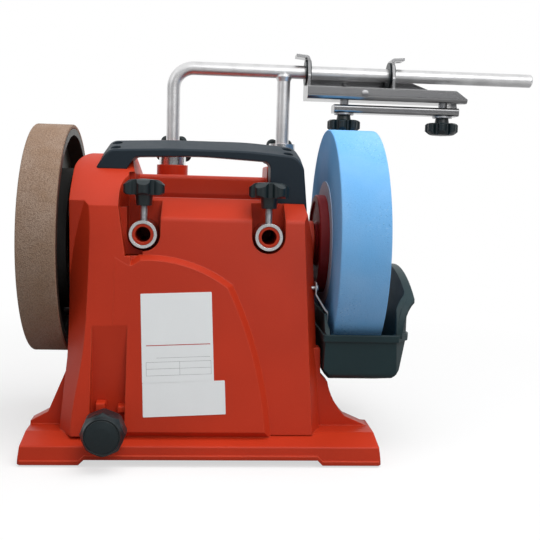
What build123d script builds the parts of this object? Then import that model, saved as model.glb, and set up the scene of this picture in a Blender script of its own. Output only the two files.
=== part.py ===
from build123d import *
import math
import os

os.makedirs("parts", exist_ok=True)

# Wet sharpening machine, in millimetres.
# X runs along the shaft from the honing wheel to the grinding stone, Y runs to the rear, Z is up.
# The origin is on the bench, under the middle of the base, in the shaft's own vertical plane.

# Driving dimensions: wheels and shaft
stone_diameter = 200.0
stone_width = 40.0
stone_above_bench = 65.0      # lowest point of the stone above the bench
honing_diameter = 194.0       # over the leather
honing_width = 30.0
leather_thickness = 3.5
honing_rim = 5.5
honing_web = 6.0
honing_recess = 11.0          # outer edge of the rim to the web
hub_step = 2.0                # honing wheel's hub stands out to the drive wheel
honing_hub_recess = 5.0       # outer edge of the rim to the hub's face
shaft_diameter = 15.0
shaft_end = 1.5               # shaft beyond its nuts
bush_wall = 5.0               # shaft bearings
bush_flange = 0.6
drive_wheel_diameter = 120.0
drive_ring_thickness = 4.0
drive_wheel_width = 13.0
roller_diameter = 15.0
roller_angle = 19.0           # motor axis, degrees behind straight down from the shaft
roller_overhang = 0.5         # the roller reaches past the drive wheel
stone_flange_diameter = 86.0
stone_flange_width = 8.9
paper_disc_diameter = 110.0
paper_disc_thickness = 0.6
wheel_washer_diameter = 44.0
wheel_washer_thickness = 2.4
wheel_nut_flats = 24.0
wheel_nut_height = 9.0

# Driving dimensions: housing
body_left = -108.0            # side wall beside the honing wheel
left_flare = 3.5              # the left side wall stands out at its foot
left_flare_height = 55.0
body_right = 92.0             # side wall beside the stone
wall = 4.0
front_foot_y = -98.0          # front wall where it meets the base
front_crease_y = -66.0        # front wall where it turns into the slope
front_crease = 22.0           # heights of the upper body are measured from the shaft axis
lip_y = -36.0                 # front edge of the hand hollow
lip = 38.0
deck_y = 12.0                 # rear deck that carries the upright sleeves
deck_rear_y = 56.0
deck = 57.0
rear_crease_y = 66.0
rear_crease = 24.0
rear_foot_y = 98.0
shoulder_crease = 31.0        # raised shoulder beside the honing wheel
shoulder_top = 73.0
shoulder_half_top = 15.0
shoulder_right = -63.0        # top of the shoulder on the hand's side
shoulder_side_slope = 4.0     # the same side further out at the deck
knob_scoop = 2.5              # room cut into the shoulder round the left front knob
knob_scoop_run = 8.0          # lower end of the cut below it, under the shaft axis
right_hump_top = 67.0
right_hump_left = 51.5
right_hump_front = -8.0
panel_rise = 6.0              # raised front panel
hollow_floor = 30.0
hollow_left = -55.0
hollow_right = 47.0
stone_boss_radius = 20.0
stone_boss_rise = 1.5
wheel_boss_radius = 34.0
wheel_boss_rise = 3.0
right_lean = 4.5              # the right side wall leans in, up to the shaft's height
right_bend = 4.0
right_flare = 2.0             # and stands out at its foot
right_corner_cut = 8.0        # bevel of the right front corner, seen from the front
right_corner_depth = 18.0     # and along the side
# Left front edge: the front panel steps back to a strip beside the honing wheel.
# Each row is a height from the shaft axis, the panel's edge and the strip's edge
# from the left side wall, and the strip's depth behind the panel.
left_step = [
    (38.0, 14.0, 13.0, 0.6),
    (20.0, 16.6, 8.0, 6.0),
    (0.0, 17.0, 3.8, 11.0),
    (-43.0, 16.6, -1.0, 22.0),
    (-90.0, 13.6, -1.5, 22.0),
    (-148.0, 8.0, -5.0, 21.0),
]

# Driving dimensions: base
base_width = 278.0
base_depth = 230.0
base_edge = 15.0              # height of the base's front edge
base_top = 20.0               # height of the base where the front wall starts
base_wall = 4.0
foot_drop = 4.0
foot_proud = 1.5              # rubber feet below the moulded feet
foot_inner = 93.0
gusset_front_y = -73.0        # gussets between the base and the side walls
gusset_thickness = 14.0
left_gusset_top = 84.0
left_gusset_knee = 31.0
left_gusset_knee_out = 15.0   # knee of the left gusset, out from the side wall
left_gusset_end = 23.5
right_gusset_top = 85.0
right_gusset_rise = 2.8       # the right gusset's upper part, proud of the side wall
right_gusset_bend = 64.0
right_gusset_shoulder = 57.5
right_gusset_shoulder_out = 8.8
right_gusset_toe = 29.0
right_gusset_toe_out = 24.0
right_gusset_end = 20.0
waist_out = 7.0               # the base behind its front feet, out from the side walls
waist_start = 57.0
waist_slope = 13.0
base_rim = 3.0                # raised rim along the lower edge of the base
base_rim_proud = 0.7
bottom_plate_thickness = 2.0
bottom_plate_height = 7.0
rubber_foot_diameter = 24.0
rubber_foot_inset_x = 23.0    # feet and screw posts from the edges of the base
rubber_foot_inset_y = 21.0
screw_post_inset_x = 21.0
screw_post_inset_y = 41.0
rear_post_inset_x = 45.0
rear_post_inset_y = 11.0

# Driving dimensions: tool support and its sockets
bar_diameter = 12.0
bar_spacing = 100.0
bar_above_stone = 53.6        # bar's centre over the top of the stone
bar_y = 40.0
bar_left_leg = -32.0
bar_right_end = 300.0
bar_bend = 18.0
leg_bottom = 10.0
socket_x = 50.0
socket_height = 9.0
socket_mouth_y = -72.0
socket_end_y = -14.0
front_sleeve_diameter = 22.0
front_liner_diameter = 17.0
pocket_width = 27.0
pocket_back_y = -41.0
rear_sleeve_diameter = 24.0
rear_liner_diameter = 18.0
rear_sleeve_bottom = 18.0
rear_sleeve_top = 88.0
rear_boss_diameter = 28.0
rear_boss_top = 66.0
liner_clearance = 0.06
socket_clearance = 0.1

# Driving dimensions: clamps
clamp_screw_diameter = 6.0
screw_clearance = 0.06
clamp_knob_diameter = 34.0
clamp_knob_height = 12.8
clamp_hub_diameter = 14.0
clamp_hub_height = 8.5
clamp_lobes = 5
front_screw_y = -62.0
front_hub_base = 31.6
rear_clamp_height = 79.0
rear_hub_gap = 6.0

# Driving dimensions: handle
handle_front_y = -41.0
handle_depth = 28.0
handle_rise = 8.5             # the top slopes up from the front to the rear
handle_left = -91.5
handle_right = 83.5
handle_crown = 78.0           # top of the grip at the front
handle_grip = 5.4             # height of the grip's front face in the middle
handle_gap_left = -66.5
handle_gap_right = 52.0
handle_bevel = 1.4
handle_screw_left_x = -75.5
handle_screw_right_x = 67.0
handle_screw_inset = 7.0
handle_screw_diameter = 4.0
handle_screw_head = 7.6
handle_screw_recess = 9.0

# Driving dimensions: jig on the bar
ear_left_x = 89.5
ear_right_x = 166.5
sheet = 2.5
ear_half_depth = 18.0
lip_length = 11.0             # bent lips on top of the ears
ear_top = 12.0
jig_bush_diameter = 21.0
jig_bush_width = 5.0
channel_drop = 24.5           # channel's underside below the bar's centre
front_flange = 11.0
rear_flange = 20.5
channel_front_end = 235.0
channel_rear_end = 222.0
clamp_bar_left = 114.0
clamp_bar_right = 230.0
clamp_bar_depth = 20.0
clamp_bar_thickness = 7.4
clamp_gap = 3.6
jig_stud_diameter = 8.0
jig_stud_left_x = 124.5
jig_stud_right_x = 217.0
jig_knob_diameter = 31.0
jig_knob_height = 11.5
jig_hub_diameter = 13.5
jig_hub_height = 4.6
jig_lobes = 7
jig_washer_thickness = 1.5

# Driving dimensions: water trough
trough_wall = 2.5
trough_floor_gap = 9.0        # water under the stone
trough_end_inset = 16.0       # trough's ends behind the stone's foremost and rearmost points
trough_dip = 33.0             # how far the stone dips below the trough's rim
trough_wall_gap = 4.0         # from the housing's side wall to the trough
trough_side_gap = 22.0        # from the stone's outer face to the trough's outer wall
trough_lip = 5.5
trough_inner_rise = 15.0      # height of the wall beside the housing above the rim
trough_end_depth = 35.0       # from the rim to where the front wall turns into the sloping floor
trough_splash_end = 23.0      # heights of the outer splash wall above the rim
trough_splash_top = 50.0
trough_floor_run = 40.0       # length of the sloping floor
trough_bilge = 6.5            # bevel along the lower inner edge
clip_front_y = -68.0
clip_width = 11.0
clip_sheet = 1.0
clip_top = -27.0              # heights from the shaft axis
clip_screw_height = -32.0
clip_hook = -59.0

# Driving dimensions: drive and speed control
motor_diameter = 80.0
motor_length = 88.0
motor_shaft_diameter = 10.0
motor_face_x = -95.0
bracket_sheet = 3.0
bracket_foot = 58.0
channel_width = 27.0
channel_depth = 10.0          # back of the recess, behind the front wall's foot
knob_x = -73.5
knob_height = 29.0            # speed knob's axis above the bench
speed_knob_diameter = 34.0
speed_knob_depth = 17.0
speed_knob_gap = 2.5          # behind the knob, from the base's front edge
spindle_diameter = 6.0
control_bushing_diameter = 9.0
gland_x = -55.0               # mains cable gland in the rear wall
gland_z = 38.0
gland_boss_rise = 2.0
gland_wall = 14.0
gland_thread_radius = 8.0

# Running gap between pieces that move past each other, and fit between pieces that are assembled
running_gap = 0.3
shaft_clearance = 0.05
seat_clearance = 0.1

# Worked out from the driving dimensions
stone_radius = stone_diameter / 2
axis_height = stone_above_bench + stone_radius
honing_radius = honing_diameter / 2
bar_height = axis_height + stone_radius + bar_above_stone
bar_right_leg = bar_left_leg + bar_spacing
boss_face = body_right + stone_boss_rise
wheel_boss_face = body_left - wheel_boss_rise
flange_inner_x = boss_face + bush_flange + running_gap
flange_outer_x = flange_inner_x + stone_flange_width
stone_inner_x = flange_outer_x + paper_disc_thickness
stone_outer_x = stone_inner_x + stone_width
drive_inner_x = wheel_boss_face - bush_flange - running_gap
drive_outer_x = drive_inner_x - drive_wheel_width
honing_outer_x = drive_outer_x - hub_step - honing_web - honing_recess
honing_inner_x = honing_outer_x + honing_width
roller_radius = roller_diameter / 2
motor_distance = drive_wheel_diameter / 2 + roller_radius + running_gap
motor_y = motor_distance * math.sin(math.radians(roller_angle))
motor_z = axis_height - motor_distance * math.cos(math.radians(roller_angle))
front_lean = (front_crease_y - front_foot_y) / (axis_height + front_crease - base_top)
plate_top = bottom_plate_height + bottom_plate_thickness
base_front_y = -base_depth / 2
foot_x = base_width / 2 - rubber_foot_inset_x
foot_y = base_depth / 2 - rubber_foot_inset_y
waist_left_x = body_left - left_flare - waist_out
waist_right_x = body_right + waist_out
rubber_feet_places = [
    (-foot_x, -foot_y), (foot_x, -foot_y),
    (waist_left_x + rubber_foot_inset_x, foot_y), (waist_right_x - rubber_foot_inset_x, foot_y)]
post_x = base_width / 2 - screw_post_inset_x
post_y = base_depth / 2 - screw_post_inset_y
rear_post_y = base_depth / 2 - rear_post_inset_y
screw_posts = [
    (-post_x, -post_y), (post_x, -post_y),
    (waist_left_x + rear_post_inset_x, rear_post_y), (waist_right_x - rear_post_inset_x, rear_post_y)]
control_wall_y = front_foot_y + channel_depth
speed_knob_back_y = base_front_y - speed_knob_gap
gland_face_y = rear_foot_y + gland_boss_rise
bush_outer_radius = shaft_diameter / 2 + bush_wall
honing_washer_x = honing_outer_x + honing_hub_recess
shaft_left_x = honing_washer_x - wheel_washer_thickness - wheel_nut_height - shaft_end
stone_nut_x = stone_outer_x + paper_disc_thickness + wheel_washer_thickness
shaft_right_x = stone_nut_x + wheel_nut_height + shaft_end
roller_left_x = drive_outer_x - roller_overhang
bracket_foot_x = motor_face_x + bracket_foot
trough_left_x = body_right + trough_wall_gap
trough_right_x = stone_outer_x + trough_side_gap
trough_low = axis_height - stone_radius - trough_floor_gap - trough_wall
trough_front_y = trough_end_inset - stone_radius
trough_rim_below_axis = stone_radius - trough_dip
trough_inner_rim = trough_rim_below_axis - trough_inner_rise
trough_edge = trough_rim_below_axis + trough_end_depth


def up(height):
    """Height above the bench of a point given from the shaft axis."""
    return axis_height + height


def front_wall_y(z):
    """Y of the set-back front wall at height z above the bench."""
    return front_foot_y + (z - base_top) * front_lean


def outline(*corners):
    """Closed face through (u, v) corners; a third number rounds that corner."""
    points = [corner[:2] for corner in corners]
    radii = [corner[2] if len(corner) == 3 else 0 for corner in corners]
    if not any(radii):
        return make_face(Polyline(*points, close=True))
    return make_face(FilletPolyline(*points, radius=radii, close=True))


def side_slab(face, x_low, x_high):
    """Extrude a Y-Z face from x_low to x_high."""
    return extrude(Plane.YZ.offset(x_low) * face, amount=x_high - x_low)


def front_slab(face, y_low, y_high):
    """Extrude an X-Z face from y_low to y_high."""
    return extrude(Plane.XZ.offset(-y_high) * face, amount=y_high - y_low)


def plan_slab(face, z_low, z_high):
    """Extrude an X-Y face from z_low to z_high."""
    return extrude(Plane.XY.offset(z_low) * face, amount=z_high - z_low)


def rod_x(radius, x_low, x_high, y=0.0, z=0.0):
    """Cylinder along X."""
    return side_slab(Pos(y, z) * Circle(radius), x_low, x_high)


def rod_y(radius, y_low, y_high, x=0.0, z=0.0):
    """Cylinder along Y."""
    return front_slab(Pos(x, z) * Circle(radius), y_low, y_high)


def rod_z(radius, z_low, z_high, x=0.0, y=0.0):
    """Cylinder along Z."""
    return plan_slab(Pos(x, y) * Circle(radius), z_low, z_high)


def turned(*profile):
    """Solid of revolution about Z through (radius, height) corners; a third number rounds one."""
    return revolve(Plane.XZ * outline(*profile), axis=Axis.Z)


def along_x(solid, x, y, z):
    """Turn a solid made along Z so that it points along +X from the given place."""
    return Pos(x, y, z) * (Rot(0, 90, 0) * solid)


def along_y(solid, x, y, z):
    """Turn a solid made along Z so that it points along +Y from the given place."""
    return Pos(x, y, z) * (Rot(-90, 0, 0) * solid)


def hexagon(flats, height):
    """Hexagonal prism with slightly domed corners, standing on Z = 0."""
    prism = extrude(RegularPolygon(flats / 2, 6, major_radius=False), amount=height)
    dome = turned(
        (0, 0), (flats * 0.6, 0), (flats * 0.6, height - flats * 0.06), (flats * 0.5, height), (0, height))
    return prism & dome


def star_knob(diameter, height, hub_diameter, hub_height, lobes, bore):
    """Lobed clamp knob: tapered hub from Z = 0 up to the star, with a blind bore for its screw."""
    radius = diameter / 2
    lobe = radius * math.sin(math.pi / lobes) * 0.52
    star = Circle(radius * 0.64)
    for place in PolarLocations(radius - lobe, lobes):
        star = star + place * Circle(lobe)
    star = fillet(star.vertices(), radius * 0.1)
    head = extrude(star, amount=height)
    crown = turned((0, 0), (radius * 0.86, 0), (radius + 1, height * 0.2),
                   (radius + 1, height * 0.55, radius * 0.2),
                   (radius * 0.7, height * 0.94, radius * 0.4), (0, height))
    head = Pos(0, 0, hub_height) * (head & crown)
    hub = turned((0, 0), (hub_diameter / 2 - 0.8, 0), (hub_diameter / 2, hub_height),
                 (hub_diameter / 2, hub_height + height / 2), (0, hub_height + height / 2))
    return head + hub - rod_z(bore, 0, hub_height + height * 0.6)


def shoulder_profile(inset=0.0):
    """Y-Z outline of the arched shoulder, its front flush with the raised panel."""
    foot = front_foot_y - panel_rise
    crease_y = foot + (up(shoulder_crease) - base_top) * front_lean
    crease = (crease_y, up(shoulder_crease))
    rear = (-crease_y, up(shoulder_crease))
    half = shoulder_half_top
    bulge_y = (crease_y - half) / 2 - 3
    bulge = up((shoulder_crease + shoulder_top) / 2) + 5
    face = make_face([
        Line((foot, base_top), crease),
        ThreePointArc(crease, (bulge_y, bulge), (-half, up(shoulder_top))),
        Line((-half, up(shoulder_top)), (half, up(shoulder_top))),
        ThreePointArc((half, up(shoulder_top)), (-bulge_y, bulge), rear),
        Line(rear, (rear_foot_y, base_top)),
        Line((rear_foot_y, base_top), (foot, base_top)),
    ])
    return offset(face, amount=-inset) if inset else face


def core_profile(inset=0.0):
    """Y-Z outline of the body between the shoulders: slope, lip, deck and rear wall."""
    face = outline(
        (front_foot_y, base_top),
        (front_crease_y, up(front_crease), 5),
        (lip_y, up(lip), 3),
        (deck_y - 6, up(lip), 2),
        (deck_y, up(deck), 5),
        (deck_rear_y, up(deck), 8),
        (rear_crease_y, up(rear_crease), 10),
        (rear_foot_y, base_top),
    )
    return offset(face, amount=-inset) if inset else face


def hump_profile(inset=0.0):
    """Y-Z outline of the hump behind the handle's right foot."""
    face = outline(
        (right_hump_front, base_top),
        (right_hump_front, up(right_hump_top), 6),
        (deck_rear_y - 4, up(right_hump_top), 8),
        (rear_crease_y, up(rear_crease), 10),
        (rear_foot_y, base_top),
    )
    return offset(face, amount=-inset) if inset else face


def body_front(inset=0.0):
    """X-Z outline of the whole body, as seen from the front."""
    face = outline(
        (body_left - left_flare, base_top),
        (body_left, base_top + left_flare_height),
        (body_left, up(shoulder_top), 13),
        (shoulder_right, up(shoulder_top), 3),
        (shoulder_right + shoulder_side_slope, up(deck)),
        (right_hump_left - 2, up(deck)),
        (right_hump_left, up(right_hump_top), 3),
        (body_right - 16, up(right_hump_top), 7),
        (body_right - 12, up(lip)),
        (body_right - right_lean, up(right_bend), 12),
        (body_right + right_flare, base_top),
    )
    return offset(face, amount=-inset) if inset else face


def body_form(inset=0.0):
    """The body's outer form, or with an inset the room inside it."""
    floor = -1.0
    left = body_left - left_flare + inset
    right = body_right + right_flare - inset
    core = side_slab(core_profile(inset), left, right)
    shoulder = side_slab(shoulder_profile(inset), left, shoulder_right + shoulder_side_slope - inset)
    hump = side_slab(hump_profile(inset), right_hump_left + inset, right)
    form = core + shoulder + hump
    form = form & front_slab(body_front(inset), -200, 200)
    if inset:
        ground = plan_slab(outline(
            (left, front_foot_y + inset),
            (right, front_foot_y + inset),
            (right, rear_foot_y - inset),
            (left, rear_foot_y - inset),
        ), floor, base_top + inset + 1)
        form = form + ground
    return form


def raised_panel():
    """Front panel that stands proud of the front wall, with sloping edges."""
    lean = math.atan(front_lean)
    root = 0.5
    wall_plane = Plane(
        origin=(0, front_foot_y + root, base_top),
        x_dir=(1, 0, 0),
        z_dir=(0, -math.cos(lean), math.sin(lean)),
    )

    def on_wall(x, height):
        return (x, (up(height) - base_top) / math.cos(lean))

    foot = base_top - axis_height - 3
    panel_left = -socket_x - pocket_width / 2 - 13
    top_start = on_wall(-53, -7)
    corner = on_wall(22, -29)
    bottom = on_wall(54, foot)
    face = make_face([
        Line(on_wall(panel_left, foot), bottom),
        ThreePointArc(bottom, on_wall(43, -83), corner),
        ThreePointArc(corner, on_wall(-14, -11), top_start),
        Line(top_start, on_wall(-59, -11)),
        Line(on_wall(-59, -11), on_wall(panel_left, -1)),
        Line(on_wall(panel_left, -1), on_wall(panel_left, foot)),
    ])
    return extrude(wall_plane * face, amount=panel_rise + root * math.cos(lean), taper=40)


def gussets():
    """Front outline of the webs that run from the side walls down to the ends of the base."""
    end = base_width / 2 - 1.5
    low = base_edge - 2
    shoulder = (body_right + right_gusset_shoulder_out, right_gusset_shoulder)
    toe = (body_right + right_gusset_toe_out, right_gusset_toe)
    bend = ((shoulder[0] + toe[0]) / 2 - 2, (shoulder[1] + toe[1]) / 2 - 1.3)
    rib_x = body_right + right_gusset_rise
    left_knee = (body_left - left_gusset_knee_out, left_gusset_knee)
    return make_face([
        Line((-end, low), (end, low)),
        Line((end, low), (end - 0.8, right_gusset_end)),
        Line((end - 0.8, right_gusset_end), toe),
        ThreePointArc(toe, bend, shoulder),
        Line(shoulder, (rib_x, right_gusset_bend)),
        Line((rib_x, right_gusset_bend), (rib_x - 1, right_gusset_top)),
        Line((rib_x - 1, right_gusset_top), (body_left + 7, left_gusset_top)),
        Line((body_left + 7, left_gusset_top), left_knee),
        Line(left_knee, (-end + 0.8, left_gusset_end)),
        Line((-end + 0.8, left_gusset_end), (-end, low)),
    ])


def base_plan(inset=0.0):
    """Plan of the base: full width at the front feet, narrower behind them beside the wheels."""
    half_w = base_width / 2 - inset
    half_d = base_depth / 2 - inset
    left = waist_left_x + inset
    right = waist_right_x - inset
    near = waist_start + inset
    far = waist_start - waist_slope + inset
    return outline(
        (-half_w, -half_d, 3), (half_w, -half_d, 3), (half_w, -near, 3), (right, -far, 6),
        (right, half_d, 3), (left, half_d, 3), (left, -far, 6), (-half_w, -near, 3))


def base_underside():
    """Seen from the front, the room under the base between its feet."""
    gap_top = foot_proud + foot_drop
    return outline(
        (-foot_inner, -20),
        (-foot_inner, foot_proud),
        (-foot_inner + foot_drop, gap_top),
        (foot_inner - foot_drop, gap_top),
        (foot_inner, foot_proud),
        (foot_inner, -20),
    )


def base_form():
    """Base with a sloping front ledge, gussets up to the side walls, a lower rim and four feet."""
    half_w = base_width / 2
    half_d = base_depth / 2
    draft = 2.5
    ledge = outline(
        (-half_d, foot_proud),
        (-half_d + draft, base_edge, 1.5),
        (front_foot_y + 6, base_top + 1),
        (rear_foot_y - 6, base_top + 1),
        (half_d - draft, base_edge, 1.5),
        (half_d, foot_proud),
    )
    ends = outline(
        (-half_w, foot_proud),
        (-half_w + draft, base_top + 2),
        (half_w - draft, base_top + 2),
        (half_w, foot_proud),
    )
    base = side_slab(ledge, -half_w, half_w) & front_slab(ends, -half_d, half_d)
    base = base & plan_slab(base_plan(), 0, 100)
    base = base + front_slab(gussets(), gusset_front_y, gusset_front_y + gusset_thickness)
    full = outline(
        (-half_w + 2, foot_proud), (half_w - 2, foot_proud),
        (half_w - 2, foot_proud + foot_drop + base_rim), (-half_w + 2, foot_proud + foot_drop + base_rim))
    foot_bands = outline(
        (-half_w + 2, foot_proud + base_rim), (-foot_inner, foot_proud + base_rim),
        (-foot_inner + foot_drop, foot_proud + foot_drop + base_rim),
        (-half_w + 2, foot_proud + foot_drop + base_rim))
    rim = full - foot_bands - mirror(foot_bands, about=Plane.YZ)
    base = base + front_slab(rim, -half_d - base_rim_proud, -half_d + 4)
    side_gap = outline(
        (gusset_front_y, -1),
        (gusset_front_y, foot_proud),
        (gusset_front_y + foot_drop, foot_proud + foot_drop),
        (-gusset_front_y - foot_drop, foot_proud + foot_drop),
        (-gusset_front_y, foot_proud),
        (-gusset_front_y, -1),
    )
    return base - front_slab(base_underside(), -200, 200) - side_slab(side_gap, -200, 200)


def left_step_cut():
    """Form cut away at the left front edge, from the panel back to the strip beside the honing wheel."""
    sections = []
    for height, panel_edge, strip_edge, depth in left_step:
        front = front_foot_y - panel_rise + (up(height) - base_top) * front_lean
        away = body_left - 30
        sections.append(Plane.XY.offset(up(height)) * outline(
            (body_left + panel_edge, front),
            (body_left + strip_edge, front + depth),
            (away, front + depth),
            (away, front - 30),
            (body_left + panel_edge, front - 30)))
    return loft(sections)


def knob_clearance(grow=0.0):
    """Scoop in the shoulder round the left front knob, and the slanting cut below it beside the sleeve."""
    radius = clamp_knob_diameter / 2 + knob_scoop + grow
    high = up(front_crease + 8)
    low = up(-knob_scoop_run)
    half = pocket_width / 2 + grow
    scoop = rod_z(radius, high, up(shoulder_top + 20), x=-socket_x, y=front_screw_y)
    scoop = scoop & Pos(-socket_x - 50, front_screw_y, axis_height) * Box(100, 100, 400)
    slant = outline(
        (-socket_x, low), (-socket_x - half, low), (-socket_x - radius, high),
        (-socket_x - radius, up(shoulder_top)), (-socket_x, up(shoulder_top)))
    return scoop + front_slab(slant, front_screw_y - 50, front_screw_y + grow)


def right_corner_bevel():
    """Wedge that bevels the upright right front corner; it follows the lean of both walls."""
    x = body_right + right_flare
    y = front_foot_y
    face = outline(
        (x - right_corner_cut, y), (x, y + right_corner_depth), (x + 12, y + right_corner_depth + 27),
        (x + 12, y - 27), (x - right_corner_cut, y - 27))
    side_lean = -(right_lean + right_flare) / (up(right_bend) - base_top)
    return extrude(Plane.XY.offset(base_top) * face, amount=220, dir=(side_lean, front_lean, 1))


def pocket(x, grow=0.0):
    """U-shaped recess round a front sleeve."""
    half = pocket_width / 2 + grow
    face = Pos(x, up(socket_height)) * Circle(half)
    face = face + outline(
        (x - half, up(socket_height)), (x + half, up(socket_height)), (x + half, up(lip + 20)),
        (x - half, up(lip + 20)))
    return front_slab(face, -120, pocket_back_y + grow)


def control_channel(grow=0.0):
    """Upright recess in the front panel, behind the speed knob."""
    half = channel_width / 2 + grow
    return front_slab(outline(
        (knob_x - half, base_top),
        (knob_x - half, up(20)),
        (knob_x + half, up(20)),
        (knob_x + half, base_top),
    ), -160, control_wall_y + grow)


def make_housing():
    """Moulded housing: one hollow shell with base, shoulders, pockets, hollow and bearing bosses."""
    right_bevel = right_corner_bevel()
    left_cut = left_step_cut()
    body = body_form() - right_bevel - left_cut - knob_clearance()
    outer = body + raised_panel() + base_form()
    outer = outer + rod_x(stone_boss_radius, body_right - 8, boss_face, z=axis_height)
    outer = outer + rod_x(wheel_boss_radius, wheel_boss_face, body_left + 8, z=axis_height)
    outer = outer + rod_y(17, rear_foot_y - 30, gland_face_y, x=gland_x, z=gland_z)

    room = body_form(wall) - Pos(-wall, wall, 0) * right_bevel - Pos(wall, wall,
    0) * left_cut - knob_clearance(wall)
    base_room = plan_slab(base_plan(base_wall + 2), -1, base_edge - base_wall)
    shell = outer - room - base_room

    kept = None
    for x in (-socket_x, socket_x):
        block = pocket(x, wall) + rod_y(front_sleeve_diameter / 2 + wall, pocket_back_y - 2,
                                        socket_end_y + wall,
                                        x=x, z=up(socket_height))
        kept = block if kept is None else kept + block
    kept = kept + front_slab(outline(
        (hollow_left - wall, up(hollow_floor - wall)),
        (hollow_right + wall, up(hollow_floor - wall)),
        (hollow_right + wall, up(lip)),
        (hollow_left - wall, up(lip))), lip_y, deck_y + wall)
    kept = kept + control_channel(wall)
    for x in (bar_left_leg, bar_right_leg):
        kept = kept + rod_z(rear_boss_diameter / 2, up(rear_sleeve_bottom - wall), up(deck), x=x, y=bar_y)
    kept = kept + rod_x(20, body_right - 16, body_right, z=axis_height)
    kept = kept + rod_x(20, body_left, body_left + 16, z=axis_height)
    kept = kept + rod_y(15, gland_face_y - gland_wall, rear_foot_y, x=gland_x, z=gland_z)
    for x, y, seat in handle_screw_places():
        kept = kept + rod_z(5, up(lip - 6), up(shoulder_top), x=x, y=y)
    shell = shell + (kept & outer)
    for x, y in screw_posts:
        shell = shell + rod_z(6, plate_top, base_edge, x=x, y=y)

    for x in (bar_left_leg, bar_right_leg):
        shell = shell + rod_z(rear_boss_diameter / 2, up(deck - 10), up(rear_boss_top), x=x, y=bar_y)
        shell = shell - rod_z(
            rear_sleeve_diameter / 2 + socket_clearance, up(rear_sleeve_bottom), up(200), x=x, y=bar_y)
        shell = shell - rod_z(
            bar_diameter / 2 + 1, axis_height - 40, up(rear_sleeve_bottom + 1), x=x, y=bar_y)
    for x in (-socket_x, socket_x):
        shell = shell - pocket(x)
        shell = shell - rod_y(
            front_sleeve_diameter / 2 + socket_clearance, -120, socket_end_y, x=x, z=up(socket_height))
    shell = shell - front_slab(outline(
        (hollow_left, up(hollow_floor), 5),
        (hollow_right, up(hollow_floor), 5),
        (hollow_right, up(lip + 4)),
        (hollow_left, up(lip + 4))), lip_y + 5, deck_y - 5)
    shell = shell - (control_channel() - plan_slab(Rectangle(600, 600), 0, base_top + 1.5))
    shell = shell - rod_y(control_bushing_diameter / 2 + seat_clearance, control_wall_y - 10,
                          control_wall_y + 20,
                          x=knob_x, z=knob_height)
    bush_bore = bush_outer_radius + seat_clearance
    shell = shell - rod_x(bush_bore, wheel_boss_face - 5, body_left + 18, z=axis_height)
    shell = shell - rod_x(bush_bore, body_right - 18, boss_face + 5, z=axis_height)
    shell = shell - rod_x(roller_radius + 4, body_left - 30, body_left + 20, y=motor_y, z=motor_z)
    shell = shell - rod_y(gland_thread_radius + seat_clearance, 50, gland_face_y + 5, x=gland_x, z=gland_z)
    for x, y, seat in handle_screw_places():
        shell = shell - rod_z(handle_screw_diameter / 2 + seat_clearance, up(lip - 3), up(90), x=x, y=y)
    for x, y in screw_posts:
        shell = shell - rod_z(2 + seat_clearance, plate_top - 1, base_edge - 0.5, x=x, y=y)
    shell = shell - rod_x(1.5 + seat_clearance, body_right - 10, body_right + 5,
                          clip_front_y + clip_width / 2,
                          up(clip_screw_height))
    return shell


def handle_screw_places():
    """Screws of the handle, as (x, y, height of the sloping top there)."""
    places = []
    for x, drop in ((handle_screw_left_x, 2.0), (handle_screw_right_x, 3.0)):
        for inset in (handle_screw_inset, handle_depth - handle_screw_inset):
            seat = handle_crown - drop + handle_rise * inset / handle_depth
            places.append((x, handle_front_y + inset, seat))
    return places


def make_handle():
    """Carrying handle: arched grip whose top slopes to the front, two feet cut to sit on the housing."""
    rear_y = handle_front_y + handle_depth
    foot = up(10)
    silhouette = outline(
        (handle_left, foot),
        (handle_left, up(handle_crown - 18)),
        (handle_left + 11, up(handle_crown - 2), 9),
        (handle_left + 58, up(handle_crown), 300),
        (handle_right - 50, up(handle_crown), 300),
        (handle_right - 10, up(handle_crown - 3.5), 12),
        (handle_right - 3.5, up(handle_crown - 13), 6),
        (handle_right, up(handle_crown - 48)),
        (handle_right, foot),
    )
    under = handle_crown - handle_grip
    gap = outline(
        (handle_gap_left, up(-20)),
        (handle_gap_left, up(under - 13), 6),
        (handle_gap_left + 6.5, up(under - 2), 6),
        ((handle_gap_left + handle_gap_right) / 2, up(under), 300),
        (handle_gap_right, up(under - 3), 6),
        (handle_gap_right, up(under - 22), 6),
        (handle_gap_right + 5, up(under - 32)),
        (handle_gap_right + 5, up(-20)),
    )
    front = Plane.XZ.offset(-handle_front_y - handle_bevel) * silhouette
    run = handle_depth - handle_bevel
    rise = handle_rise * run / handle_depth
    grip = extrude(front, amount=math.hypot(run, rise), dir=(0, run, rise))
    grip = grip + extrude(front, amount=handle_bevel, taper=45)
    grip = grip - front_slab(gap, handle_front_y - 1, rear_y + 1)
    for x, y, seat in handle_screw_places():
        grip = grip - rod_z(handle_screw_head / 2 + 0.4, up(seat - handle_screw_recess), up(110), x=x, y=y)
        grip = grip - rod_z(handle_screw_diameter / 2 + 0.3, up(0), up(110), x=x, y=y)
    grip = grip - body_form()
    return max(grip.solids(), key=lambda solid: solid.volume)


def make_handle_screws():
    """Four pan-head screws that hold the handle."""
    screws = []
    for x, y, seat in handle_screw_places():
        base = up(seat - handle_screw_recess)
        screw = pan_head(handle_screw_head, 2.8) + rod_z(handle_screw_diameter / 2, up(lip - 2) - base, 0.5)
        screws.append(Pos(x, y, base) * screw)
    return group(screws)


def ring_x(outer, inner, x_low, x_high, y=0.0, z=axis_height):
    """Ring along X."""
    return rod_x(outer, x_low, x_high, y, z) - rod_x(inner, x_low - 1, x_high + 1, y, z)


def group(pieces):
    """Several loose pieces of one kind in one node."""
    return Compound(children=list(pieces))


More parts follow.
